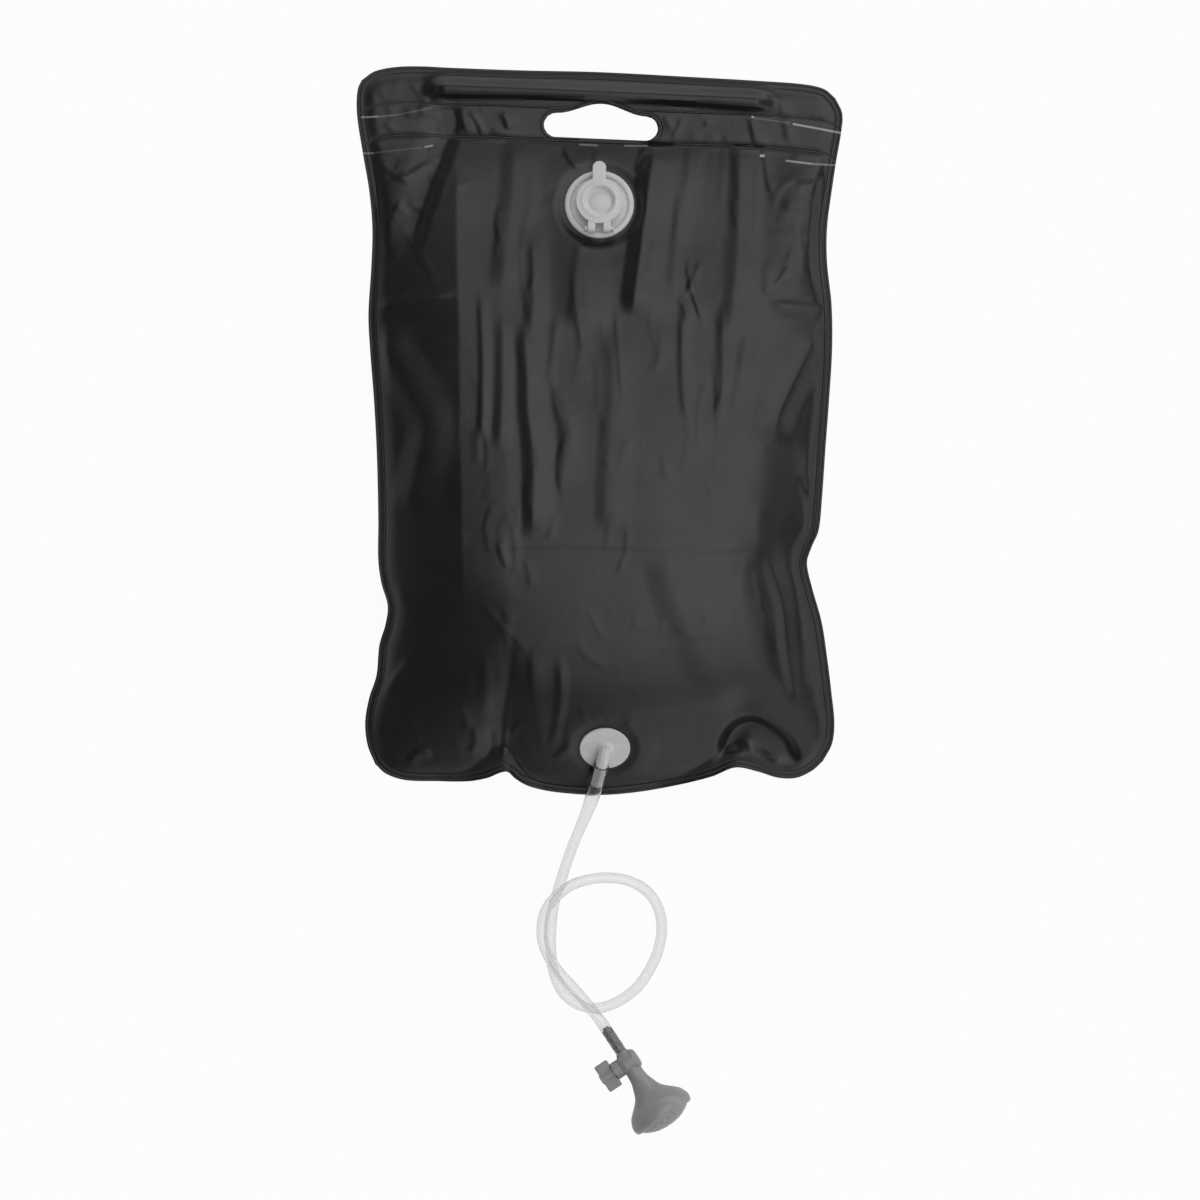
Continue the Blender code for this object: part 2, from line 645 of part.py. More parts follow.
def hook_outline():
    """An open hook round the hinge bar, with its arm towards the cap; across is Y, up is Z."""
    inner = HINGE_BAR + CLEARANCE
    outer = inner + HOOK_WALL
    mouth = HINGE_BAR * 0.72
    mouth_in = math.asin(mouth / inner)
    mouth_out = math.asin(mouth / outer)
    down = math.pi * 1.5
    arm = HINGE_REACH - CAP_RADIUS + CAP_THICK
    arm_foot = outer - CAP_THICK + CLEARANCE * 2.0
    turn_in = math.asin(arm_foot / outer)
    points = [(arm, outer)]
    points += arc((0.0, 0.0), outer, math.pi / 2.0, down - mouth_out, SMALL_STEPS // 2)
    points += arc((0.0, 0.0), inner, down - mouth_in, -math.pi / 2.0 + mouth_in, SMALL_STEPS)
    points += arc((0.0, 0.0), outer, -math.pi / 2.0 + mouth_out, turn_in, SMALL_STEPS // 4)
    points += [(arm, arm_foot)]
    return points


def make_filler_cap(valve):
    """The cap: tapered hollow plug, domed top, pull tab and two hooks on the hinge bar."""
    height = hinge_height()
    hinge = place_empty("filler_hinge", Matrix.Translation((0.0, -HINGE_REACH, height)), valve)
    seat = CLEARANCE * 2.0 + NECK_HEIGHT
    top = seat + CAP_THICK
    soft = CAP_THICK / 3.0
    plug = NECK_BORE - CLEARANCE
    dome_steps = 5
    bend = math.pi / 2.0 / dome_steps
    outside = [(DOME_RADIUS * math.sin(bend * i), top + DOME_RISE * math.cos(bend * i))
               for i in range(dome_steps + 1)]
    outside += [(CAP_RADIUS - soft, top), (CAP_RADIUS, top - soft), (CAP_RADIUS, seat),
                (plug, seat), (plug - PLUG_TAPER, seat - PLUG_DEPTH),
                (plug - PLUG_TAPER - PLUG_WALL, seat - PLUG_DEPTH)]
    hollow = DOME_RADIUS - PLUG_WALL
    inside = [(hollow * math.cos(bend * i), top + (DOME_RISE - PLUG_WALL) * math.sin(bend * i))
              for i in range(dome_steps)]
    inside += [(0.0, top + DOME_RISE - PLUG_WALL)]
    cap = turned("filler_cap", outside + inside, hinge, PARTS, closed=False)
    cap.matrix_basis = Matrix.Translation((0.0, HINGE_REACH, -height))
    for side in (-1.0, 1.0):
        hook = slab("cap_hook", hook_outline(), HOOK_WIDTH, hinge, CUTTERS)
        across = side * (HOOK_GAP + HOOK_WIDTH) / 2.0
        hook.matrix_basis = Matrix.Translation((across, 0.0, 0.0)) @ \
            Matrix(((0, 0, 1, 0), (1, 0, 0, 0), (0, 1, 0, 0), (0, 0, 0, 1)))
        combine(cap, hook, "UNION")
    end = TAB_WIDTH / 2.0
    far = CAP_RADIUS + TAB_REACH - end
    near = CAP_RADIUS - soft * 3.0
    outline = [(end, near)] + arc((0.0, far), end, 0.0, math.pi, SMALL_STEPS // 2) + [(-end, near)]
    tab = slab("cap_tab", outline, CAP_THICK * 0.8, hinge, CUTTERS)
    tab.matrix_basis = Matrix.Translation((0.0, HINGE_REACH, seat + CAP_THICK / 2.0 - height))
    combine(cap, tab, "UNION")
    finish_part(cap, make_material("cap_plastic", VALVE_GREY, 0.3))


def spout_direction():
    return Vector((-math.sin(SPOUT_SWING), -math.cos(SPOUT_SWING), 0.0))


def spout_path(start):
    """The elbow's line in the outlet's frame: up off the flange, round, and along the film."""
    corner = Vector((0.0, 0.0, SPOUT_RISE))
    along = spout_direction()
    points = [Vector((0.0, 0.0, start))]
    steps = 6
    for i in range(steps + 1):
        angle = math.pi / 2.0 * i / steps
        points.append(corner + along * SPOUT_BEND * (1.0 - math.cos(angle))
                      - Vector((0.0, 0.0, 1.0)) * SPOUT_BEND * (1.0 - math.sin(angle)))
    points.append(corner + along * SPOUT_LENGTH)
    return points


def make_outlet_flange(outlet):
    """The outlet's weld flange with its elbow spout, bored right through."""
    foot = CLEARANCE
    top = foot + OUTLET_THICK
    soft = OUTLET_THICK / 3.0
    profile = [
        (0.0, top + SPOUT_RADIUS * 0.3), (SPOUT_RADIUS, top + SPOUT_RADIUS * 0.3),
        (SPOUT_RADIUS * 1.5, top), (OUTLET_RADIUS - soft, top), (OUTLET_RADIUS, top - soft),
        (OUTLET_RADIUS, foot), (0.0, foot)]
    flange = turned("outlet_flange", profile, outlet, PARTS, closed=False)
    path = spout_path(foot + OUTLET_THICK / 2.0)
    tip = path[-1]
    back = path[-2]
    length = (tip - back).length
    radii = [SPOUT_RADIUS] * (len(path) - 1)
    steps = ((HOSE_OVERLAP, SPOUT_RADIUS), (HOSE_OVERLAP - CLEARANCE, SPOUT_END_RADIUS))
    straight = [back.lerp(tip, 1.0 - (reach + CLEARANCE) / length) for reach, _ in steps]
    stem = tube("spout_stem", path[:-1] + straight + [tip],
                radii + [radius for _, radius in steps] + [SPOUT_END_RADIUS - SPOUT_BARB],
                outlet, CUTTERS)
    combine(flange, stem, "UNION")
    bore_path = spout_path(-CUT_OVERRUN)
    bore_path[-1] = bore_path[-1] + spout_direction() * CUT_OVERRUN
    bore = tube("spout_bore", bore_path, [SPOUT_BORE] * len(bore_path), outlet, CUTTERS)
    combine(flange, bore, "DIFFERENCE")
    finish_part(flange, make_material("spout_plastic", VALVE_GREY, 0.35))


def hose_points(outlet, head):
    """The hose's line: along the spout, over the hand-chosen route, and along the head's stem."""
    along = spout_direction()
    tip = Vector((0.0, 0.0, SPOUT_RISE)) + along * SPOUT_LENGTH
    spout = outlet.matrix_world
    start = [spout @ (tip - along * HOSE_OVERLAP), spout @ (tip - along * HOSE_OVERLAP / 2.0),
             spout @ tip, spout @ (tip + along * HOSE_LEAD)]
    stem = head.matrix_world
    end = [stem @ Vector((0.0, 0.0, place)) for place in
           (-HOSE_LEAD, 0.0, STEM_LENGTH / 2.0, STEM_LENGTH - CLEARANCE)]
    return start, [Vector(point) for point in HOSE_ROUTE], end


def make_hose(outlet, head):
    start, route, end = hose_points(outlet, head)
    dense = smooth_points(start[-2:] + route + end[:2])
    lengths = path_lengths(dense)
    count = round(lengths[-1] / HOSE_POINT_STEP)
    middle = [point_along(dense, lengths, i / count) for i in range(count + 1)]
    points = start[:-2] + middle + end[2:]
    run = path_lengths(points)
    radii = []
    for place in run:
        near = 1.0 - ease((place - HOSE_OVERLAP) / HOSE_SPOUT_TAPER)
        far = 1.0 - ease((run[-1] - place - STEM_LENGTH) / HOSE_HEAD_TAPER)
        radii.append(HOSE_RADIUS + (HOSE_FLARE - HOSE_RADIUS) * near
                     + (HOSE_HEAD_FLARE - HOSE_RADIUS) * far)
    hose = tube("hose", points, radii, None, PARTS, capped=False)
    thicken(hose, -1.0, HOSE_WALL)
    finish_part(hose, make_material("clear_hose", CLEAR_HOSE, 0.15))
    print("hose centre line", round(run[-1], 4), "m in", len(points), "points")


def rose_seat():
    """Place of the step in the bell's mouth that the spray face rests on."""
    return HEAD_LENGTH - ROSE_RECESS


def stem_profile():
    """Barbed stem from the shoulder down to the tip, as (radius, place) points."""
    points = [(STEM_RADIUS, STEM_LENGTH)]
    for i in range(BARB_COUNT):
        crest = STEM_LENGTH - BARB_PITCH * (i + 0.75)
        points += [(STEM_RADIUS, crest + CLEARANCE), (BARB_RADIUS, crest)]
    points += [(STEM_RADIUS, crest - BARB_PITCH * 0.6), (STEM_RADIUS - CLEARANCE * 2.0, 0.0)]
    return points


def make_head_body(head):
    """The head: barbed stem, cross boss for the tap, neck and flared bell, hollow throughout."""
    outside = [(BELL_RADIUS * out, HEAD_LENGTH * place) for out, place in BELL_OUTER_SHARES]
    outside += [(NECK_RADIUS, TAP_PLACE), (NECK_RADIUS, STEM_LENGTH + NECK_RADIUS / 2.0),
                (HOSE_HEAD_FLARE, STEM_LENGTH)]
    outside += stem_profile()
    hollow = [(WATER_BORE, 0.0)]
    hollow += [(BELL_RADIUS * out, HEAD_LENGTH * place) for out, place in BELL_INNER_SHARES]
    hollow += [(BELL_RADIUS * BELL_INNER_SHARES[-1][0], rose_seat()),
               (ROSE_RADIUS + CLEARANCE, rose_seat()), (ROSE_RADIUS + CLEARANCE, HEAD_LENGTH)]
    body = turned("head_body", outside + hollow, head, PARTS, closed=True)
    across = Matrix.Translation((0.0, 0.0, TAP_PLACE)) @ Matrix.Rotation(math.pi / 2.0, 4, "Y")
    blind = -TAP_HALF - CLEARANCE
    boss = cylinder("tap_boss", BOSS_RADIUS, blind - BOSS_END_WALL, TAP_HALF + CLEARANCE, head,
                    CUTTERS)
    boss.matrix_basis = across
    rounding = boss.modifiers.new("round", "BEVEL")
    rounding.width = BOSS_ROUND
    rounding.segments = 2
    rounding.limit_method = "ANGLE"
    combine(body, boss, "UNION")
    socket = cylinder("tap_socket", TAP_RADIUS + CLEARANCE, blind, TAP_HALF + CUT_OVERRUN, head,
                      CUTTERS)
    socket.matrix_basis = across
    combine(body, socket, "DIFFERENCE")
    finish_part(body, make_material("head_plastic", HEAD_GREY, 0.3))


def rose_hole_places():
    """Centres of the spray holes: one in the middle and rings of six, twelve and eighteen."""
    places = [(0.0, 0.0)]
    for ring in range(1, ROSE_RINGS + 1):
        holes = 6 * ring
        for i in range(holes):
            angle = 2.0 * math.pi * i / holes
            radius = ring * ROSE_RING_PITCH
            places.append((radius * math.cos(angle), radius * math.sin(angle)))
    return places


def make_rose(head):
    """The spray face: a domed disc in the bell's mouth, with rings of holes."""
    seat = rose_seat() + CLEARANCE
    steps = 5
    top = [(ROSE_RADIUS * i / steps,
            seat + ROSE_THICK + ROSE_DOME * (1.0 - (i / steps) ** ROSE_FULLNESS_SHARE))
           for i in range(steps + 1)]
    under = [(radius, place - ROSE_THICK) for radius, place in reversed(top)]
    rose = turned("rose_plate", top + under, head, PARTS, closed=False)
    bm = bmesh.new()
    for across, up in rose_hole_places():
        bmesh.ops.create_cone(
            bm, cap_ends=True, segments=6, radius1=ROSE_HOLE, radius2=ROSE_HOLE,
            depth=ROSE_DOME + ROSE_THICK * 4.0,
            matrix=Matrix.Translation((across, up, seat + ROSE_DOME / 2.0)))
    holes = object_from_mesh("rose_holes", bm, head, CUTTERS)
    combine(rose, holes, "DIFFERENCE")
    finish_part(rose, make_material("rose_plastic", HEAD_GREY, 0.35))


def make_tap(head):
    """The tap: a plug bored across, with ring grooves, a collar and a winged handle."""
    axis = place_empty("tap_axis", Matrix.Translation((0.0, 0.0, TAP_PLACE))
                       @ Matrix.Rotation(math.pi / 2.0, 4, "Y"), head)
    groove_low = TAP_RADIUS - RING_CORD * 2.0 - CLEARANCE
    half = RING_CORD + CLEARANCE
    outer = TAP_HALF + CLEARANCE * 2.0
    barrel_end = outer + COLLAR_LENGTH + HANDLE_DEPTH
    soft = BARREL_RADIUS / 6.0
    profile = [(0.0, barrel_end), (BARREL_RADIUS - soft, barrel_end),
               (BARREL_RADIUS, barrel_end - soft), (BARREL_RADIUS, outer + COLLAR_LENGTH),
               (COLLAR_RADIUS, outer + COLLAR_LENGTH), (COLLAR_RADIUS, outer),
               (TAP_RADIUS, outer)]
    for place in (RING_PLACE, -RING_PLACE):
        profile += [(TAP_RADIUS, place + half), (groove_low, place + half),
                    (groove_low, place - half), (TAP_RADIUS, place - half)]
    profile += [(TAP_RADIUS, -TAP_HALF), (0.0, -TAP_HALF)]
    tap = turned("tap_spindle", profile, axis, PARTS, closed=False)
    wing = box("handle_wing", (-HANDLE_LENGTH / 2.0, -HANDLE_THICK / 2.0,
                               barrel_end - HANDLE_DEPTH + CLEARANCE),
               (HANDLE_LENGTH / 2.0, HANDLE_THICK / 2.0, barrel_end - soft), axis, CUTTERS)
    rounding = wing.modifiers.new("round", "BEVEL")
    rounding.width = HANDLE_ROUND
    rounding.segments = 2
    combine(tap, wing, "UNION")
    port = cylinder("tap_port", WATER_BORE, -TAP_RADIUS * 2.0, TAP_RADIUS * 2.0, axis, CUTTERS,
                    SMALL_STEPS)
    port.matrix_basis = Matrix.Rotation(math.pi / 2.0, 4, "Y")
    combine(tap, port, "DIFFERENCE")
    finish_part(tap, make_material("tap_plastic", HEAD_GREY, 0.3))
    ring_radius = groove_low + CLEARANCE + RING_CORD
    for name, place in (("tap_ring_outer", RING_PLACE), ("tap_ring_inner", -RING_PLACE)):
        circle = arc((ring_radius, place), RING_CORD, math.pi / 2.0, -math.pi * 1.5, 8)[:-1]
        ring = turned(name, circle, axis, PARTS, closed=True, steps=SMALL_STEPS)
        finish_part(ring, make_material(name + "_rubber", RING_BLACK, 0.6))


def valve_matrix():
    lift = Vector((0.0, 0.0, FILM + CLEARANCE + FILM / math.cos(VALVE_TILT)))
    return Matrix.Translation(valve_centre() + lift) @ Matrix.Rotation(VALVE_TILT, 4, "X")


def outlet_matrix():
    lift = Vector((0.0, 0.0, FILM + CLEARANCE + FILM / math.cos(OUTLET_TILT)))
    return Matrix.Translation(outlet_centre() + lift) @ Matrix.Rotation(OUTLET_TILT, 4, "X")


def head_matrix():
    """Z runs from the stem to the rose, X along the tap towards its handle."""
    flat = Vector((math.cos(HEAD_TURN), math.sin(HEAD_TURN), 0.0))
    along = flat * math.cos(HEAD_PITCH) + Vector((0.0, 0.0, math.sin(HEAD_PITCH)))
    side = Vector((flat.y, -flat.x, 0.0))
    up = along.cross(side)
    frame = Matrix((side, up, along)).transposed().to_4x4()
    return Matrix.Translation(HEAD_TIP) @ frame


clear_scene()
PARTS = make_collection("camp_shower_bag")
CUTTERS = make_collection("cutters")
valve_place = place_empty("filler_valve", valve_matrix())
outlet_place = place_empty("outlet", outlet_matrix())
head_place = place_empty("shower_head", head_matrix())
bpy.context.view_layer.update()
make_panels(valve_place, outlet_place)
make_rod()
make_filler_flange(valve_place)
make_filler_cap(valve_place)
make_outlet_flange(outlet_place)
make_hose(outlet_place, head_place)
make_head_body(head_place)
make_rose(head_place)
make_tap(head_place)
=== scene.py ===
"""Looks of the camp shower bag: black film panels with their folds and welds, moulded soft
fittings, clear hose and shower head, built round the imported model.

Metres, +Z up. The bag lies on its back on z = 0, hand hole towards +Y.
"""
import math
import random
from typing import NamedTuple

import bmesh
import bpy
import numpy as np
from bpy.props import (FloatProperty, FloatVectorProperty, IntProperty, PointerProperty)
from mathutils import Matrix, Vector


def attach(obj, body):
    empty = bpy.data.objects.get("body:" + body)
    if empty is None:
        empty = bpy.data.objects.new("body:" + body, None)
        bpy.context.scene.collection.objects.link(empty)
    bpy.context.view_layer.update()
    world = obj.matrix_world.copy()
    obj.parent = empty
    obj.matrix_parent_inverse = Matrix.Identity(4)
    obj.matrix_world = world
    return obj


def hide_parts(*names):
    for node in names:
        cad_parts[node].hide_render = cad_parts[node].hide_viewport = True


bl_info = {
    "name": "Camp Shower Bag",
    "version": (1, 0, 0),
    "blender": (4, 5, 0),
    "location": "View3D > Sidebar > Camp Shower",
    "description": "Dresses the packed camp shower bag: film, welds, fittings, hose and head",
    "category": "Object",
}

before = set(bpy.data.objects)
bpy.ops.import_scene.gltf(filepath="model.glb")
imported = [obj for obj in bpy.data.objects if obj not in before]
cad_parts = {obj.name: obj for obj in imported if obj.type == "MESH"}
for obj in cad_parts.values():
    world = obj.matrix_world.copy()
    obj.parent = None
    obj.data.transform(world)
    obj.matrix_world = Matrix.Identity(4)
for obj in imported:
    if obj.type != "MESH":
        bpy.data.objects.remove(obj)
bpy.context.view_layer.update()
BAG = "bag"
CAP = "cap"
MM = 0.001

# Outline of the film as shares of half its width and half its length, with the height of the
# seam as a share of the bulge
TOP_EDGE_SHARES = (
    (-0.979, 0.962, 0), (-0.926, 0.986, 0), (-0.840, 0.998, 0), (-0.737, 1.000, 0),
    (-0.614, 0.996, 0), (-0.326, 0.989, 0), (0.002, 0.984, 0), (0.372, 0.971, 0),
    (0.680, 0.959, 0), (0.849, 0.950, 0), (0.927, 0.937, 0), (0.972, 0.912, 0))
RIGHT_EDGE_SHARES = (
    (0.919, -0.907, 0.08), (0.956, -0.860, 0.10), (0.965, -0.800, 0.15), (0.952, -0.717, 0.20),
    (0.935, -0.630, 0.26), (0.910, -0.525, 0.31), (0.869, -0.429, 0.36), (0.849, -0.364, 0.38),
    (0.869, -0.320, 0.34), (0.898, -0.276, 0.30), (0.912, -0.191, 0.27), (0.927, -0.053, 0.24),
    (0.943, 0.084, 0.20), (0.956, 0.221, 0.16), (0.954, 0.344, 0.14), (0.936, 0.462, 0.11),
    (0.937, 0.556, 0.07), (0.956, 0.654, 0.03), (0.976, 0.742, 0), (0.997, 0.824, 0),
    (1.000, 0.871, 0), (0.972, 0.912, 0))
BOTTOM_EDGE_SHARES = (
    (-0.922, -0.915, 0.08), (-0.877, -0.942, 0.08), (-0.799, -0.959, 0.08),
    (-0.675, -0.962, 0.09), (-0.540, -0.962, 0.13), (-0.458, -0.952, 0.20),
    (-0.408, -0.938, 0.25), (-0.376, -0.935, 0.26), (-0.343, -0.955, 0.21),
    (-0.289, -0.976, 0.13), (-0.182, -0.992, 0.07), (0.002, -1.000, 0.05),
    (0.167, -0.991, 0.07), (0.331, -0.971, 0.13), (0.463, -0.948, 0.22), (0.557, -0.923, 0.28),
    (0.647, -0.934, 0.23), (0.734, -0.952, 0.13), (0.808, -0.953, 0.09), (0.873, -0.934, 0.08),
    (0.919, -0.907, 0.08))
LEFT_EDGE_SHARES = (
    (-0.922, -0.915, 0.08), (-0.953, -0.863, 0.10), (-0.962, -0.800, 0.14),
    (-0.945, -0.734, 0.19), (-0.914, -0.671, 0.24), (-0.901, -0.588, 0.29),
    (-0.875, -0.531, 0.34), (-0.866, -0.481, 0.36), (-0.893, -0.418, 0.32),
    (-0.906, -0.355, 0.29), (-0.906, -0.246, 0.27), (-0.912, -0.081, 0.24),
    (-0.924, 0.070, 0.20), (-0.942, 0.221, 0.16), (-0.949, 0.317, 0.14), (-0.938, 0.446, 0.11),
    (-0.934, 0.550, 0.07), (-0.947, 0.654, 0.03), (-0.975, 0.764, 0), (-0.996, 0.852, 0),
    (-1.000, 0.901, 0), (-0.994, 0.940, 0), (-0.979, 0.962, 0))
# Height of the front panel down the water chamber, as shares of its length and of the bulge
CROWN_SHARES = (
    (0.0, 0.0), (0.045, 0.10), (0.098, 0.19), (0.153, 0.28), (0.246, 0.455), (0.37, 0.65),
    (0.494, 0.82), (0.618, 0.93), (0.71, 0.985), (0.788, 1.0), (0.834, 0.955), (0.865, 0.86),
    (0.907, 0.64), (0.94, 0.45), (0.971, 0.26), (1.0, 0.10))
# Fullness of the front panel across, at its top and low down
UPPER_POWER_SHARE = 3.0
LOWER_POWER_SHARE = 2.65
POWER_PLACE_SHARES = (0.35, 0.75)
CROWN_FULL_SHARE = 0.965
BULGE_ROUND_SHARE = 0.85

# Runs in metres over which folds rise from the rim and from the hem's welds
EDGE_RUN = 0.010
HEM_RUN = 0.004
# The rear panel: runs of its rise to the seam and of its folds, and how high these are
REAR_RUN = 0.045
REAR_FOLD_RUN = 0.02
REAR_FOLD_SHARE = 0.8
# The rim hangs down by this share of the seam's height at most
DROOP_SHARE = 0.5
# The film is flat under a fitting out to this share of the fitting's radius
PATCH_ROUND_SHARE = 1.06
# A fold's end fades over this share of its line at most, and a crisp crest has this power
MOST_FADE_SHARE = 0.28
CRISP_POWER = 1.7

# The film over the rod: its crest as shares of the rod's radius and of the bow, and its fall
CREST_SHARE = 0.7
CREST_BOW_SHARE = 0.6
DRAPE_POWER = 1.3
DRAPE_ROUND_SHARE = 0.2
CHANNEL_CUT_SHARE = 0.5

# Mesh of the film: rows beside each edge, the shares that they take up across and up, and the
# run beside a hole in which its cut looks for corners, in metres
EDGE_STEPS = 12
EDGE_ACROSS_SHARE = 0.02
EDGE_UP_SHARE = 0.0135
CUT_REACH = 0.004

# Free run of the hose, from the bag's lower edge to the head
HOSE_ROUTE = (
    (-0.0065, -0.1649, 0.0132), (-0.0106, -0.1764, 0.0096), (-0.0159, -0.1887, 0.0070),
    (-0.0213, -0.2019, 0.0054), (-0.0270, -0.2175, 0.0047), (-0.0328, -0.2357, 0.0045),
    (-0.0377, -0.2529, 0.0045), (-0.0398, -0.2727, 0.0045), (-0.0399, -0.2900, 0.0045),
    (-0.0373, -0.3081, 0.0045), (-0.0295, -0.3245, 0.0045), (-0.0172, -0.3340, 0.0045),
    (-0.0020, -0.3369, 0.0045), (0.0136, -0.3324, 0.0045), (0.0297, -0.3212, 0.0045),
    (0.0399, -0.3077, 0.0045), (0.0477, -0.2916, 0.0045), (0.0513, -0.2727, 0.0045),
    (0.0485, -0.2546, 0.0049), (0.0387, -0.2402, 0.0062), (0.0227, -0.2315, 0.0088),
    (0.0054, -0.2291, 0.0116), (-0.0098, -0.2307, 0.0136), (-0.0225, -0.2348, 0.0140),
    (-0.0340, -0.2431, 0.0140), (-0.0435, -0.2546, 0.0140), (-0.0471, -0.2686, 0.0140),
    (-0.0463, -0.2817, 0.0140), (-0.0410, -0.2949, 0.0140), (-0.0328, -0.3068, 0.0140),
    (-0.0229, -0.3175, 0.0140), (-0.0131, -0.3287, 0.0140))

# Bell of the shower head: radius and place as shares of its radius and of the head's length
BELL_OUTER_SHARES = (
    (0.925, 1.000), (0.965, 0.990), (0.990, 0.972), (1.000, 0.945), (0.985, 0.912),
    (0.890, 0.850), (0.780, 0.814), (0.648, 0.778), (0.502, 0.734), (0.414, 0.693),
    (0.344, 0.636), (0.283, 0.580), (0.262, 0.534))
BELL_INNER_SHARES = (
    (0.074, 0.568), (0.167, 0.625), (0.319, 0.705), (0.541, 0.784), (0.770, 0.852),
    (0.845, 0.909))
# Where the head lies: its stem's tip, its direction seen from above and its rise, in degrees
HEAD_TIP = (0.0046, -0.3517, 0.0147)
HEAD_TURN = -55.96
HEAD_PITCH = 8.5
# Barbs, as shares of their pitch, and the small edges of the head in metres
BARBS = 3
BARB_PLACE_SHARE = 0.75
BARB_LEAD_SHARE = 0.6
BARB_LIP = 0.0003
STEM_CHAMFER = 0.0006
SHOULDER = 0.0012
SOCKET_CHAMFER = 0.0006

# Dish in the cap's middle: radius and height as shares of its radius and depth
DISH_SHARES = ((0.0, -0.50), (0.30, -0.58), (0.55, -0.80), (0.72, -1.0), (0.84, -0.72),
               (0.92, -0.26), (1.0, 0.06), (1.06, 0.12), (1.14, 0.0))
# Spout of the outlet: its direction in degrees and the height of its middle
SPOUT_SWING = 12.9
SPOUT_HEIGHT = 0.0088
# Bead round the valve: points across it and how full it is
BEAD_STEPS = 12
BEAD_POWER = 0.7
# Rounding of moulded edges in metres, where faces meet at more than the angle in degrees
VALVE_ROUNDING = 0.0003
HEAD_ROUNDING = 0.0002
ROUNDING_ANGLE = 35.0
# Hinge and pull tab, as shares of the bar's radius, the cap's plate and its dish
PIN_STEPS = 24
POST_RISE_SHARE = 0.8
HOOK_MOUTH_SHARE = 0.72
TAB_THICK_SHARE = 0.8
TAB_ROOT_SHARE = 1.2

# Mottling of a surface: the part of the noise's range that moves the roughness
MOTTLE_LOW = 0.3
MOTTLE_HIGH = 0.7

# Camera's place over the floor and the height at which the view's width counts, in metres
CAMERA_PLACE = (0.0005, -0.0011)
VIEW_PLANE = 0.01
# Size of the floor and its place under the bag
FLOOR_REACH = 4.0
FLOOR_DROP = 0.0005
FLOOR_SQUARES = 8
FLOOR_COLOUR = (0.85, 0.85, 0.85, 1.0)

# Where a point of the photograph's 1200 x 1200 frame lies on the bag
PHOTO_PIXEL = (0.8214 * MM, -0.8230 * MM)
PHOTO_ORIGIN = (599.4, 598.7)


class BoxEdge(NamedTuple):
    """A soft edge of the long softbox overhead, in degrees from straight up."""
    turn: float     # direction in which the angles are counted, from +X
    dark: float     # angle at which the light is least
    full: float     # angle at which it is full
    least: float    # share of the light that is left past the edge


BOX_EDGES = (BoxEdge(6, -27, 11, 0.0), BoxEdge(6, 58, 34, 0.0), BoxEdge(96, -50, 20, 0.42),
             BoxEdge(96, 46, 20, 0.3))


class Fold(NamedTuple):
    """A ridge in the film. Drawn down or to the left, its steep side faces left or up."""
    height: float   # millimetres, negative for a groove
    steep: float    # width of the steep side in millimetres
    gentle: float   # width of the gentle side in millimetres
    crisp: float    # 0 for a rounded crest, 1 for a sharp one
    line: tuple     # places in the photograph's frame
    fade: float = 25.0  # run of each end's fade in millimetres


# The folds that show, area by area
FLAP_FOLDS = (
    Fold(-2.6, 26, 12, 0.3, ((451, 90), (449, 132), (441, 156), (429, 190), (417, 226),
                             (409, 258))),
    Fold(4.0, 36, 28, 0.1, ((801, 150), (800, 190), (798, 225), (795, 265), (794, 318)), 45.0),
    Fold(-0.8, 4, 6, 0.5, ((437, 84), (430, 97), (426, 108))),
    Fold(0.8, 5, 10, 0.6, ((448, 100), (432, 104), (415, 110))),
    Fold(0.9, 5, 10, 0.4, ((436, 160), (405, 178), (375, 189))),
    Fold(0.8, 5, 9, 0.5, ((372, 158), (392, 172), (414, 186))),
    Fold(1.6, 4, 12, 0.5, ((368, 311), (420, 303), (462, 297))),
    Fold(4.0, 20, 30, 0.2, ((372, 325), (392, 362), (410, 392), (428, 425), (420, 470),
                            (405, 520))),
    Fold(0.8, 4, 8, 0.4, ((752, 118), (764, 152), (769, 186), (776, 204))),
    Fold(1.0, 14, 8, 0.3, ((828, 214), (800, 208), (777, 204))),
    Fold(0.7, 6, 10, 0.4, ((777, 100), (786, 122), (792, 150))),
    Fold(0.7, 5, 8, 0.5, ((826, 178), (810, 186), (796, 184))),
    Fold(0.5, 6, 9, 0.4, ((790, 215), (800, 245), (803, 280))),
    Fold(-1.8, 4, 14, 0.4, ((836, 309), (800, 307), (763, 304))),
)
BAND_FOLDS = (
    Fold(1.0, 3, 7, 0.6, ((456, 108), (462, 122), (470, 136))),
    Fold(0.9, 3, 6, 0.6, ((470, 110), (478, 124), (484, 137))),
    Fold(0.9, 3, 5, 0.6, ((502, 110), (506, 120), (509, 132))),
    Fold(0.6, 3, 6, 0.5, ((684, 116), (677, 130), (671, 142))),
    Fold(0.9, 4, 5, 0.5, ((751, 114), (754, 134), (760, 154))),
    Fold(0.8, 3, 4, 0.5, ((759, 91), (776, 98), (787, 114))),
)
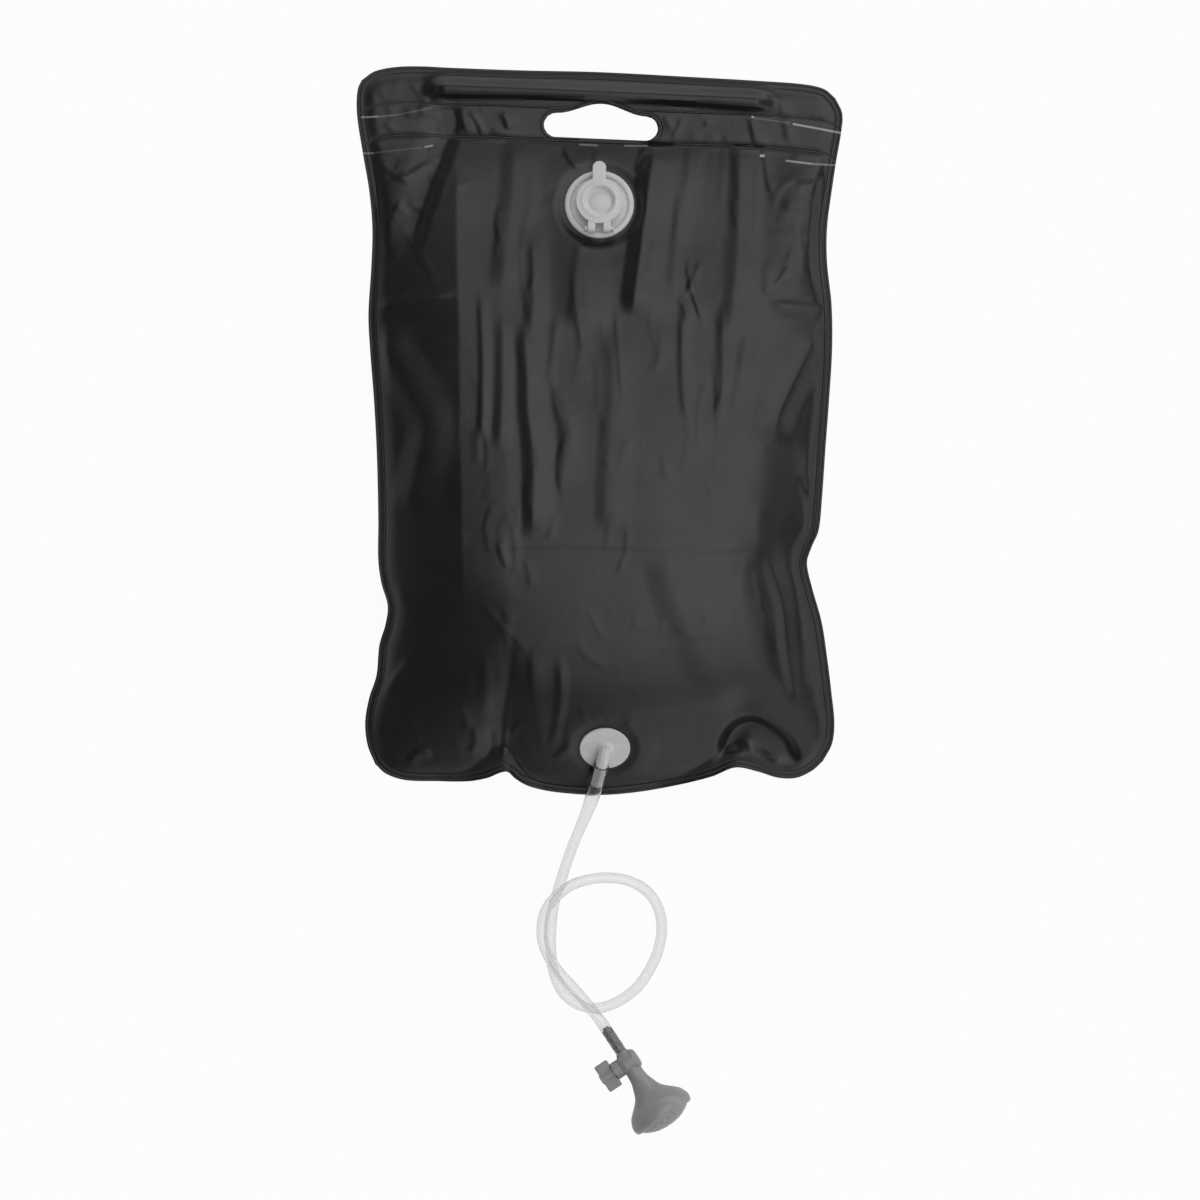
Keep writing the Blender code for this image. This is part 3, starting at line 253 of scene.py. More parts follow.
UPPER_FOLDS = (
    Fold(3.4, 62, 50, 0.9, ((456, 124), (457, 200), (458, 270), (460, 330), (461, 400),
                            (462, 470), (464, 556), (468, 640)), 70.0),
    Fold(1.5, 14, 26, 0.3, ((515, 130), (514, 180), (510, 225), (506, 262), (502, 300))),
    Fold(1.4, 9, 15, 0.4, ((532, 225), (533, 262), (534, 300), (531, 345))),
    Fold(2.4, 30, 26, 0.3, ((578, 180), (582, 240), (585, 290), (586, 340))),
    Fold(4.2, 13, 38, 0.5, ((656, 132), (653, 160), (647, 200), (642, 240), (636, 285),
                            (631, 325))),
    Fold(1.1, 9, 15, 0.4, ((692, 130), (689, 175), (681, 215), (675, 262), (673, 310))),
    Fold(1.7, 12, 24, 0.4, ((740, 130), (740, 190), (738, 250), (733, 300), (730, 350))),
    Fold(0.5, 4, 6, 0.4, ((757, 155), (756, 200), (754, 250))),
    Fold(1.0, 4, 7, 0.6, ((686, 255), (690, 285), (696, 306), (705, 330))),
    Fold(0.8, 4, 6, 0.6, ((700, 262), (693, 282), (684, 300))),
    Fold(0.7, 4, 6, 0.6, ((676, 296), (684, 310), (688, 330))),
    Fold(0.9, 6, 10, 0.4, ((683, 300), (682, 345), (683, 395), (688, 430))),
    Fold(1.3, 8, 17, 0.4, ((721, 300), (722, 360), (720, 430))),
    Fold(0.9, 4, 7, 0.4, ((563, 146), (572, 162), (582, 172))),
    Fold(0.9, 4, 7, 0.4, ((648, 150), (640, 165), (634, 176))),
)
MIDDLE_FOLDS = (
    Fold(0.8, 5, 9, 0.4, ((481, 290), (484, 350), (484, 410), (482, 450))),
    Fold(0.9, 8, 12, 0.4, ((503, 310), (504, 360), (503, 410), (500, 460))),
    Fold(2.0, 11, 20, 0.4, ((524, 320), (528, 370), (529, 410), (533, 445), (535, 495),
                           (532, 545))),
    Fold(0.9, 8, 20, 0.2, ((560, 400), (566, 440), (562, 500))),
    Fold(1.0, 12, 24, 0.1, ((612, 330), (613, 400), (608, 470), (606, 540))),
    Fold(5.0, 38, 18, 0.3, ((824, 322), (808, 352), (792, 384), (778, 416), (768, 450))),
    Fold(3.2, 26, 16, 0.2, ((818, 436), (822, 476), (824, 520), (824, 552))),
    Fold(1.2, 9, 20, 0.2, ((748, 320), (745, 350), (738, 390), (730, 430))),
    Fold(-1.6, 8, 8, 0.3, ((800, 474), (806, 500), (813, 524))),
    Fold(1.4, 6, 6, 0.4, ((796, 540), (806, 545), (812, 556))),
    Fold(0.45, 5, 9, 0.2, ((440, 553), (500, 548), (560, 545), (640, 548), (700, 550),
                           (762, 547))),
)
LOWER_FOLDS = (
    Fold(1.8, 24, 60, 0.1, ((664, 545), (674, 590), (690, 630), (708, 664), (738, 712))),
    Fold(-1.8, 10, 16, 0.3, ((762, 542), (772, 574), (781, 606), (786, 650), (797, 710))),
    Fold(-2.0, 16, 12, 0.2, ((810, 585), (816, 640), (814, 700))),
    Fold(-7.2, 10, 28, 0.0, ((798, 772), (788, 750), (772, 733), (752, 723), (736, 728),
                             (726, 744), (722, 766))),
    Fold(0.5, 7, 12, 0.2, ((487, 650), (487, 690), (485, 718))),
    Fold(0.4, 7, 10, 0.2, ((502, 655), (502, 690), (500, 716))),
    Fold(1.0, 6, 16, 0.3, ((535, 645), (534, 690), (541, 735), (551, 760))),
    Fold(0.9, 6, 8, 0.4, ((560, 650), (562, 690), (557, 725), (548, 758))),
    Fold(1.2, 6, 8, 0.4, ((525, 716), (511, 733), (505, 755), (503, 775))),
    Fold(0.9, 5, 7, 0.5, ((585, 738), (566, 748), (552, 762))),
    Fold(1.2, 6, 8, 0.4, ((474, 722), (477, 740), (470, 756))),
    Fold(-1.0, 6, 6, 0.3, ((490, 724), (491, 742), (484, 757))),
    Fold(1.2, 5, 9, 0.5, ((434, 752), (420, 752), (407, 764))),
    Fold(1.6, 6, 10, 0.6, ((414, 655), (396, 678), (376, 700))),
    Fold(-1.4, 8, 8, 0.3, ((374, 668), (381, 650), (392, 640))),
    Fold(0.8, 4, 8, 0.5, ((626, 715), (630, 728), (640, 748))),
    Fold(0.6, 5, 8, 0.3, ((458, 700), (466, 716), (470, 735))),
    Fold(0.6, 4, 8, 0.3, ((499, 540), (504, 556), (510, 572))),
)
# Small scattered folds: count, box in the photograph's frame, seed, lean, size, spread, height
CRUMPLES = (
    (22, (365, 80), (450, 300), 3, 0.7, 16), (20, (765, 95), (828, 300), 5, -0.6, 15),
    (12, (455, 108), (540, 138), 7, 0.4, 8), (10, (665, 112), (755, 142), 9, -0.3, 8),
    (40, (468, 160), (760, 430), 11, 0.0, 36, 0.10, 0.9),
    (26, (470, 430), (760, 560), 13, 0.0, 26, 0.15, 0.7),
    (44, (385, 570), (815, 760), 17, 0.2, 18, 0.5, 0.7),
)
REAR_CRUMPLES = (70, (380, 150), (820, 760), 29, 0.0, 30)


class HighlightMark(NamedTuple):
    """A painted highlight in the film: a light line drawn into its colour."""
    light: float    # how much of the light colour shows
    width: float    # half its width in millimetres
    start: tuple    # in the photograph's frame
    end: tuple


# Painted highlights: light lines and dots drawn into the film's colour along the hem's welds
WELD_HIGHLIGHTS = (
    HighlightMark(0.5, 0.30, (361, 117), (377, 116.5)), HighlightMark(0.2, 0.30, (377, 116.5), (395, 115)),
    HighlightMark(0.12, 0.25, (395, 115), (431, 108)), HighlightMark(0.7, 0.40, (794, 124), (841, 132.5)),
    HighlightMark(0.35, 0.30, (362, 153), (372, 153)), HighlightMark(0.1, 0.25, (372, 153), (420, 148)),
    HighlightMark(0.5, 0.35, (425, 147), (432, 145.5)), HighlightMark(0.6, 0.40, (787, 161), (812, 164)),
    HighlightMark(0.4, 0.30, (812, 164), (838, 165)), HighlightMark(0.35, 0.35, (580, 144.5), (597, 145.5)),
    HighlightMark(0.35, 0.35, (625, 145.7), (647, 145.7)), HighlightMark(0.8, 0.6, (752.7, 117), (753.3, 117)),
    HighlightMark(0.9, 0.8, (761.5, 156), (763.5, 156)), HighlightMark(0.15, 0.25, (755, 118), (790, 123)),
)


def photo_place(point):
    """A place on the bag, in metres, for a place in the photograph's frame."""
    return tuple((value - origin) * size
                 for value, origin, size in zip(point, PHOTO_ORIGIN, PHOTO_PIXEL))


def length_value(name, text, default):
    return FloatProperty(name=name, description=text, default=default, unit="LENGTH", precision=5)


def angle_value(name, text, degrees):
    return FloatProperty(name=name, description=text, default=math.radians(degrees),
                         subtype="ANGLE")


def colour_value(name, text, default):
    return FloatVectorProperty(name=name, description=text, default=default, subtype="COLOR",
                               size=3, min=0.0, max=1.0)


def share_value(name, text, default):
    return FloatProperty(name=name, description=text, default=default, subtype="FACTOR",
                         min=0.0, max=1.0)


class FilmSettings(bpy.types.PropertyGroup):
    """Sizes and finish of the two film panels."""
    width: length_value("Width", "Width of the film across its outline", 0.400)
    length: length_value("Length", "Length of the film from hem to lower seam", 0.600)
    middle: length_value("Middle", "Place of the film's middle along Y", 0.1385)
    thickness: length_value("Thickness", "Thickness of one film panel", 0.0005)
    gap: length_value("Gap", "Gap between the panels in the weld", 0.0003)
    bulge: length_value("Bulge", "Height of the bag at its fullest", 0.066)
    weld: length_value("Weld band", "Width of the weld round the rim", 0.006)
    droop: length_value("Droop", "How far the welded rim hangs down", 0.0020)
    droop_run: length_value("Droop run", "Run over which the rim falls", 0.0120)
    rod_radius: length_value("Rod radius", "Radius of the rod in the hem", 0.004)
    rod_length: length_value("Rod length", "Length of the rod in the hem", 0.246)
    rod_drop: length_value("Rod drop", "From the top edge to the rod", 0.0180)
    rod_shift: length_value("Rod shift", "How far the rod sits to the right", 0.0008)
    hem_tilt: angle_value("Hem tilt", "Slope of the hem", -2.4)
    channel_spare: length_value("Channel spare", "Hem channel past each end of the rod", 0.005)
    channel_end: length_value("Channel end", "Run over which the hem channel closes", 0.022)
    upper_weld: length_value("Upper weld", "From the top edge to the upper hem weld", 0.031)
    lower_weld: length_value("Lower weld", "From the top edge to the lower hem weld", 0.058)
    upper_puff: length_value("Upper puff", "Rise of the film beside the upper weld", 0.0004)
    lower_puff: length_value("Lower puff", "Rise of the film beside the lower weld", 0.0010)
    puff_run: length_value("Puff run", "Run over which the film rises from a weld", 0.0032)
    hole_width: length_value("Hand hole width", "Width of the hand hole", 0.094)
    hole_height: length_value("Hand hole height", "Height of the hand hole's ends", 0.020)
    hole_arch: length_value("Hand hole arch", "Rise of the hand hole's top edge", 0.009)
    hole_above_weld: length_value("Hole place", "Hand hole's middle above the lower weld", 0.013)
    drape_above: length_value("Drape above", "Run over which the film falls above the rod", 0.0155)
    drape_below: length_value("Drape below", "Run over which the film falls below the rod", 0.0044)
    drape_bow: length_value("Drape bow", "How much further it falls at the rod's ends", 0.0022)
    hole_shift: length_value("Hole shift", "How far the hand hole sits to the right", 0.0012)
    fold_depth: FloatProperty(name="Fold depth", description="Scales the height of every fold",
                              default=1.1, min=0.0, max=2.0)
    columns: IntProperty(name="Columns", description="Columns of the front panel's mesh",
                         default=270, min=40)
    rows: IntProperty(name="Rows", description="Rows of the front panel's mesh", default=400,
                      min=60)
    colour: colour_value("Film", "Colour of the film", (0.0052, 0.0052, 0.0055))
    # Colour of the painted highlights along the welds
    highlight_colour: colour_value("Weld", "Colour of the stretched welds", (0.45, 0.45, 0.45))
    roughness: share_value("Roughness", "Roughness of the film", 0.30)


class ValveSettings(bpy.types.PropertyGroup):
    """Place and finish of the filler valve and of the outlet."""
    drop: length_value("Drop", "From the top edge to the valve", 0.1108)
    height: length_value("Height", "Height of the film under the valve", 0.0125)
    tilt: angle_value("Tilt", "Slope of the film under the valve", -10.0)
    flange_radius: length_value("Flange radius", "Radius of the valve's weld flange", 0.0285)
    neck_radius: length_value("Neck radius", "Radius of the hole for the neck", 0.0172)
    patch_run: length_value("Patch run", "Run over which the film leaves the valve", 0.026)
    fold_run: length_value("Fold run", "Run over which folds rise beside a fitting", 0.008)
    outlet_run: length_value("Outlet run", "Run over which the film leaves the outlet", 0.026)
    outlet_rise: length_value("Outlet rise", "Outlet's middle above the lower weld", 0.0341)
    outlet_shift: length_value("Outlet shift", "How far the outlet sits to the right", 0.0045)
    outlet_height: length_value("Outlet height", "Height of the film under the outlet", 0.0312)
    outlet_tilt: angle_value("Outlet tilt", "Slope of the film under the outlet", 35.5)
    outlet_radius: length_value("Outlet radius", "Radius of the outlet's weld flange", 0.0206)
    spout_radius: length_value("Spout radius", "Radius of the hole for the spout", 0.0055)
    foot: length_value("Foot", "Gap between welded or fitted faces", 0.0003)
    bead_height: length_value("Bead height", "Height of the bead round the valve", 0.0040)
    bead_width: length_value("Bead width", "Width of the bead round the valve", 0.0052)
    groove: length_value("Groove", "Thickness of the flange inside the bead", 0.0018)
    neck_bore: length_value("Neck bore", "Radius of the valve's bore", 0.0150)
    neck_wall: length_value("Neck wall", "Wall of the neck", 0.0022)
    neck_height: length_value("Neck height", "Height of the neck", 0.0115)
    cap_radius: length_value("Cap radius", "Radius of the cap's plate", 0.0190)
    cap_thick: length_value("Cap thickness", "Thickness of the cap's plate", 0.0019)
    dish_radius: length_value("Dish radius", "Radius of the dish in the cap", 0.0130)
    dish_depth: length_value("Dish depth", "Depth of the dish in the cap", 0.0030)
    plug_depth: length_value("Plug depth", "Length of the cap's plug", 0.0070)
    plug_taper: length_value("Plug taper", "How much the plug narrows", 0.0012)
    plug_wall: length_value("Plug wall", "Wall of the plug", 0.0015)
    tab_width: length_value("Tab width", "Width of the pull tab", 0.0110)
    tab_reach: length_value("Tab reach", "How far the pull tab stands out", 0.0145)
    hinge_reach: length_value("Hinge reach", "From the valve's axis to the hinge bar", 0.0226)
    hinge_bar: length_value("Hinge bar", "Radius of the hinge bar", 0.0015)
    hinge_post: length_value("Hinge post", "Width of the posts that hold the bar", 0.0022)
    hook_wall: length_value("Hook wall", "Wall of the hooks round the bar", 0.0014)
    hook_width: length_value("Hook width", "Width of each hook", 0.0060)
    hook_gap: length_value("Hook gap", "Gap between the hooks", 0.0068)
    steps: IntProperty(name="Steps", description="Steps round the valve", default=96, min=24)
    colour: colour_value("Valve", "Colour of the soft moulded fittings", (0.60, 0.60, 0.60))


class HoseSettings(bpy.types.PropertyGroup):
    """Sizes and finish of the clear hose."""
    radius: length_value("Radius", "Outer radius of the hose", 0.0043)
    wall: length_value("Wall", "Wall of the hose", 0.0010)
    flare: length_value("Flare", "Outer radius where it is pushed over the spout", 0.0062)
    head_flare: length_value("Head flare", "Outer radius over the head's stem", 0.0047)
    spout_grip: length_value("Spout grip", "Inner radius over the spout", 0.00450)
    head_grip: length_value("Head grip", "Inner radius over the head's stem", 0.00308)
    spout: length_value("Spout", "Length of the spout past its elbow", 0.0315)
    overlap: length_value("Overlap", "How far it is pushed over the spout", 0.0192)
    lead: length_value("Lead", "Straight run past each stem", 0.0050)
    spout_taper: length_value("Spout taper", "Run over which it narrows past the spout", 0.0500)
    head_taper: length_value("Head taper", "Run over which it widens before the stem", 0.0120)
    stem: length_value("Stem", "Length of the head's barbed stem", 0.0238)
    step: length_value("Step", "Length of one ring of the mesh", 0.0018)
    sides: IntProperty(name="Sides", description="Sides of the tube", default=44, min=8)
    colour: colour_value("Hose", "Tint of the clear plastic", (0.970, 0.972, 0.972))


class HeadSettings(bpy.types.PropertyGroup):
    """Sizes and finish of the shower head, measured from the tip of its barbed stem."""
    length: length_value("Length", "From the stem's tip to the spray face", 0.0880)
    bell_radius: length_value("Bell radius", "Radius of the bell", 0.0270)
    neck_radius: length_value("Neck radius", "Radius of the neck", 0.0064)
    stem: length_value("Stem", "Length of the barbed stem", 0.0238)
    stem_radius: length_value("Stem radius", "Radius of the stem", 0.0031)
    barb_radius: length_value("Barb radius", "Radius of the barbs", 0.0035)
    barb_pitch: length_value("Barb pitch", "From one barb to the next", 0.0065)
    bore: length_value("Bore", "Radius of the water way", 0.0020)
    rose_recess: length_value("Rose recess", "From the bell's edge to the spray face", 0.0030)
    rose_radius: length_value("Rose radius", "Radius of the seat of the spray face", 0.0241)
    tap_place: length_value("Tap place", "From the stem's tip to the tap", 0.0343)
    boss_radius: length_value("Boss radius", "Radius of the boss round the tap", 0.0088)
    boss_far: length_value("Boss far end", "From the head's axis to the closed end", 0.0094)
    boss_near: length_value("Boss near end", "From the head's axis to the open end", 0.0068)
    boss_round: length_value("Boss rounding", "Rounding of the boss", 0.0042)
    socket: length_value("Socket", "Radius of the hole for the tap", 0.0066)
    steps: IntProperty(name="Steps", description="Steps round the head", default=96, min=24)
    colour: colour_value("Head", "Colour of the shower head", (0.28, 0.28, 0.28))
    roughness: share_value("Roughness", "Roughness of the head's plastic", 0.22)


class StageSettings(bpy.types.PropertyGroup):
    """Camera, floor and light."""
    camera_height: length_value("Camera height", "Height of the camera over the floor", 3.2)
    view_width: length_value("View width", "Width of the floor in view", 0.98568)
    world: FloatProperty(name="World", description="Brightness of the dim room", default=0.15)
    box: FloatProperty(name="Box light", description="Brightness of the long softbox",
                       default=1.62)
    wall: FloatProperty(name="Walls", description="Brightness of the light walls", default=0.6)
    wall_turn: angle_value("Brightest wall", "Direction of the brightest wall, from +X", 50.0)
    wall_lean: share_value("Wall lean", "How much darker the opposite wall is", 0.9)
    wall_top: angle_value("Wall top", "Top of the walls, from overhead", 64.0)
    wall_full: angle_value("Wall full", "Where the walls are fully bright, from overhead", 76.0)
    white: share_value("White", "How much of the floor is plain white", 0.95)


class CampShowerSettings(bpy.types.PropertyGroup):
    """All settings of the camp shower bag."""
    film: PointerProperty(type=FilmSettings)
    valve: PointerProperty(type=ValveSettings)
    hose: PointerProperty(type=HoseSettings)
    head: PointerProperty(type=HeadSettings)
    stage: PointerProperty(type=StageSettings)


def ease(value):
    value = np.clip(value, 0.0, 1.0)
    return value * value * (3.0 - 2.0 * value)


def smooth_points(points, per_span=12):
    """A smooth curve through the points, with many points along each span."""
    points = [Vector(point) for point in points]
    ends = [points[0] * 2.0 - points[1]] + points + [points[-1] * 2.0 - points[-2]]
    result = [points[0]]
    for before, start, end, after in zip(ends, ends[1:], ends[2:], ends[3:]):
        span = (end - start).length
        leave = (end - before) * (span / (span + (start - before).length))
        arrive = (after - start) * (span / ((after - end).length + span))
        for i in range(1, per_span + 1):
            t = i / per_span
            result.append(start * (2 * t ** 3 - 3 * t ** 2 + 1) + leave * (t ** 3 - 2 * t ** 2 + t)
                          + end * (3 * t ** 2 - 2 * t ** 3) + arrive * (t ** 3 - t ** 2))
    return result


def path_lengths(points):
    steps = np.linalg.norm(np.diff(np.array(points), axis=0), axis=1)
    return np.concatenate([[0.0], np.cumsum(steps)])


def points_along(points, distances):
    """Points of a line at given distances from its start."""
    lengths = path_lengths(points)
    line = np.array(points)
    return np.stack([np.interp(distances, lengths, line[:, axis])
                     for axis in range(line.shape[1])], axis=-1)


class FilmOutline:
    """The seam surface of the bag: a patch stretched between its four outline curves."""

    def __init__(self, film):
        size = Vector((film.width / 2.0, film.length / 2.0, film.bulge))
        self.sides = {}
        for name, shares in (("top", TOP_EDGE_SHARES), ("right", RIGHT_EDGE_SHARES),
                             ("bottom", BOTTOM_EDGE_SHARES), ("left", LEFT_EDGE_SHARES)):
            corners = [Vector(point) * size + Vector((0.0, film.middle, 0.0)) for point in shares]
            self.sides[name] = smooth_points(corners)

    def edge(self, name, share):
        line = self.sides[name]
        return points_along(line, share * path_lengths(line)[-1])

    def seam(self, across, up):
        """Places on the seam surface for arrays of shares of the width and of the length."""
        bottom, top = self.edge("bottom", across)[None], self.edge("top", across)[None]
        left, right = self.edge("left", up)[:, None], self.edge("right", up)[:, None]
        a = across[None, :, None]
        u = up[:, None, None]
        low = bottom[:, :1] * (1 - a) + bottom[:, -1:] * a
        high = top[:, :1] * (1 - a) + top[:, -1:] * a
        place = bottom * (1 - u) + top * u + left * (1 - a) + right * a \
            - low * (1 - u) - high * u
        place[..., 2] = np.maximum(place[..., 2], 0.0)
        return place

    def rim(self):
        """The whole outline as one closed line, seen from above."""
        line = self.sides["top"] + self.sides["right"][::-1] + self.sides["bottom"][::-1] \
            + self.sides["left"]
        return np.array(line)[:, :2]


def line_distance(places, line):
    """Signed distance of each place to a line, left side positive, and the share along it."""
    best = np.full(len(places), np.inf)
    signed = np.full(len(places), np.inf)
    share = np.zeros(len(places))
    lengths = path_lengths(line)
    for i, (start, end) in enumerate(zip(line, line[1:])):
        span = end - start
        size = max(np.linalg.norm(span), 1e-9)
        offset = places - start
        t = np.clip(offset @ span / size ** 2, 0.0, 1.0)
        gap = offset - t[:, None] * span
        distance = np.linalg.norm(gap, axis=1)
        nearer = distance < best
        side = np.sign(span[0] * offset[:, 1] - span[1] * offset[:, 0])
        best = np.where(nearer, distance, best)
        signed = np.where(nearer, distance * side, signed)
        share = np.where(nearer, (lengths[i] + t * size) / lengths[-1], share)
    return signed, share


def fold_height(fold, places):
    """Height that a fold adds at each place."""
    line = np.array(smooth_points([Vector((*photo_place(point), 0.0)) for point in fold.line],
                                  6))[:, :2]
    height = np.zeros(len(places))
    reach = max(fold.steep, fold.gentle) * MM
    low, high = line.min(axis=0) - reach, line.max(axis=0) + reach
    near = np.flatnonzero(np.all((places > low) & (places < high), axis=1))
    signed, share = line_distance(places[near], line)
    fade = min(fold.fade * MM / path_lengths(line)[-1], MOST_FADE_SHARE)
    width = np.where(signed > 0.0, fold.gentle, fold.steep) * MM
    t = 1.0 - np.clip(np.abs(signed) / width, 0.0, 1.0)
    profile = (1.0 - fold.crisp) * ease(t) + fold.crisp * t ** CRISP_POWER
    taper = ease(share / fade) * ease((1.0 - share) / fade)
    height[near] = fold.height * MM * profile * taper
    return height


def crumple_folds(count, low, high, seed, lean, size, spread=0.5, high_share=1.0):
    """Small folds scattered over a box of the photograph's frame."""
    chance = random.Random(seed)
    folds = []
    for _ in range(count):
        x, y = chance.uniform(low[0], high[0]), chance.uniform(low[1], high[1])
        turn = chance.gauss(lean, spread)
        reach = chance.uniform(0.5, 1.6) * size
        bend = chance.uniform(-0.25, 0.25) * reach
        along = (math.sin(turn), math.cos(turn))
        line = tuple((x + along[0] * reach * k + along[1] * bend * (1 - k * k),
                      y + along[1] * reach * k - along[0] * bend * (1 - k * k))
                     for k in (-1.0, 0.0, 1.0))
        folds.append(Fold(chance.uniform(0.15, 0.5) * high_share, chance.uniform(3.0, 7.0),
                          chance.uniform(5.0, 13.0), chance.uniform(0.2, 0.6), line))
    return folds


def all_folds():
    folds = list(FLAP_FOLDS + BAND_FOLDS + UPPER_FOLDS + MIDDLE_FOLDS + LOWER_FOLDS)
    for row in CRUMPLES:
        folds += crumple_folds(*row)
    return folds


def top_middle(film):
    """Where the top edge crosses the bag's middle line, along Y."""
    across = [point[0] for point in TOP_EDGE_SHARES]
    up = [point[1] for point in TOP_EDGE_SHARES]
    return film.middle + film.length / 2.0 * float(np.interp(0.0, across, up))


def channel_height(film, places):
    """How far the front panel stands up over the rod: draped above it, drawn tight below it."""
    centre = np.array((film.rod_shift, top_middle(film) - film.rod_drop))
    along = np.array((math.cos(film.hem_tilt), math.sin(film.hem_tilt)))
    offset = places - centre
    beyond = np.abs(offset @ along) - film.rod_length / 2.0 - film.channel_spare
    above = offset[:, 1] * along[0] - offset[:, 0] * along[1]
    bowed = film.drape_bow * np.clip(np.abs(offset @ along) / film.rod_length * 2.0, 0.0, 1.0) ** 2
    reach = np.where(above > 0.0, film.drape_above, film.drape_below + bowed)
    crest = np.where(above > 0.0, 0.0,
                     film.rod_radius * CREST_SHARE + bowed * CREST_BOW_SHARE)
    full = 2.0 * (film.rod_radius + film.gap)
    away = np.clip((np.abs(above) - crest) / reach, 0.0, 1.0)
    fall = np.where(above > 0.0,
                    (1.0 - away) ** DRAPE_POWER * (1.0 - ease(away) * DRAPE_ROUND_SHARE),
                    1.0 - ease(away))
    end = np.clip(beyond / film.channel_end, 0.0, 1.0)
    return full * fall * (1.0 - ease(end)) * (1.0 - end * CHANNEL_CUT_SHARE)


def valve_centre(film, valve):
    return np.array((0.0, top_middle(film) - valve.drop, valve.height))


def outlet_centre(film, valve):
    bottom = film.middle - film.length / 2.0
    return np.array((valve.outlet_shift, bottom + film.weld + valve.outlet_rise,
                     valve.outlet_height))


def patch_weight(places, centre, tilt, radius, run):
    """1 under a welded-on fitting, falling to 0 over a run around it."""
    distance = np.hypot(places[:, 0] - centre[0], (places[:, 1] - centre[1]) / math.cos(tilt))
    return 1.0 - ease((distance - radius * PATCH_ROUND_SHARE) / run)


def hand_hole_line(film):
    """The hand hole's edge: a slot with round ends and an arched top, as a closed line."""
    end = film.hole_height / 2.0
    reach = film.hole_width / 2.0 - end
    steps = 24
    turns = [math.pi * (i / steps - 0.5) for i in range(steps + 1)]
    line = [(reach + end * math.cos(turn), end * math.sin(turn)) for turn in turns]
    for i in range(1, steps):
        across = reach * (1.0 - 2.0 * i / steps)
        lift = film.hole_arch * math.cos(across / reach * math.pi / 2.0) ** 2
        line.append((across, end + lift))
    line += [(-reach - end * math.cos(turn), -end * math.sin(turn)) for turn in turns]
    line.append(line[0])
    centre = (film.hole_shift, top_middle(film) - film.lower_weld + film.hole_above_weld)
    turn = np.array(((math.cos(film.hem_tilt), math.sin(film.hem_tilt)),
                     (-math.sin(film.hem_tilt), math.cos(film.hem_tilt))))
    return np.array(line) @ turn + np.array(centre)


def round_line(centre, radius, tilt, steps=64):
    """A circle on a tilted plane, seen from above, as a closed line."""
    turns = np.linspace(0.0, 2.0 * math.pi, steps + 1)
    return np.stack([centre[0] + radius * np.cos(turns),
                     centre[1] + radius * np.sin(turns) * math.cos(tilt)], axis=-1)


def inside_line(places, line):
    """Which places lie inside a closed line."""
    inside = np.zeros(len(places), bool)
    for (x1, y1), (x2, y2) in zip(line, line[1:]):
        if y1 == y2:
            continue
        crosses = (y1 > places[:, 1]) != (y2 > places[:, 1])
        at = x1 + (places[:, 1] - y1) * (x2 - x1) / (y2 - y1)
        inside ^= crosses & (places[:, 0] < at)
    return inside


def nearest_on_line(place, line):
    """The point of a closed line that lies nearest to a place."""
    start, span = line[:-1], np.diff(line, axis=0)
    t = np.einsum("ij,ij->i", place - start, span) / np.maximum((span ** 2).sum(axis=1), 1e-12)
    found = start + np.clip(t, 0.0, 1.0)[:, None] * span
    return found[np.argmin(((found - place) ** 2).sum(axis=1))]


def in_order(items):
    """Parts of a mesh without repeats, in the order of their numbers."""
    return sorted(set(items), key=lambda item: item.index)


def cut_hole(bm, line, height_at):
    """Opens a hole in a flat-lying mesh, with its edge exactly on the line."""
    for sequence in (bm.verts, bm.edges, bm.faces):
        sequence.index_update()
    centre = line.mean(axis=0)
    reach = np.linalg.norm(line - centre, axis=1).max() + CUT_REACH
    near = [v for v in bm.verts if math.hypot(v.co.x - centre[0], v.co.y - centre[1]) < reach]
    places = np.array([v.co[:2] for v in near])
    inside = dict(zip(near, inside_line(places, line)))
    gap = dict(zip(near, np.abs(line_distance(places, line)[0])))
    on_edge = set()
    for edge in in_order(edge for v in near for edge in v.link_edges):
        a, b = edge.verts
        if a not in inside or b not in inside or inside[a] == inside[b]:
            continue
        if a in on_edge or b in on_edge:
            continue
        on_edge.add(a if gap[a] < gap[b] else b)
    for v in in_order(on_edge):
        found = nearest_on_line(np.array(v.co[:2]), line)
        v.co = (*found, height_at(found, v.co.z))
    for face in in_order(face for v in near for face in v.link_faces):
        within = [v for v in face.verts if inside.get(v) and v not in on_edge]
        without = [v for v in face.verts if not inside.get(v) and v not in on_edge]
        if within and not without:
            bm.faces.remove(face)
        elif within and without:
            rim = [v for v in face.verts if v in on_edge]
            if len(rim) == 2:
                bmesh.utils.face_split(face, rim[0], rim[1])
    bm.faces.index_update()
    for face in in_order(face for v in near for face in v.link_faces):
        if any(inside.get(v) and v not in on_edge for v in face.verts):
            bm.faces.remove(face)
    faces = in_order(face for v in on_edge for face in v.link_faces)
    middles = np.array([face.calc_center_median()[:2] for face in faces])
    for face, hidden in zip(faces, inside_line(middles, line)):
        if hidden and all(v in on_edge for v in face.verts):
            bm.faces.remove(face)
    for v in [v for v in near if v.is_valid and not v.link_faces]:
        bm.verts.remove(v)


def edged_steps(count, edge_share):
    """Shares from 0 to 1, closer together at both ends."""
    edge = np.linspace(0.0, edge_share, EDGE_STEPS, endpoint=False)
    middle = np.linspace(edge_share, 1.0 - edge_share, count - 2 * EDGE_STEPS)
    return np.concatenate([edge, middle, (1.0 - edge)[::-1]])


def rim_distance(film, places):
    return np.abs(line_distance(places, FilmOutline(film).rim())[0])


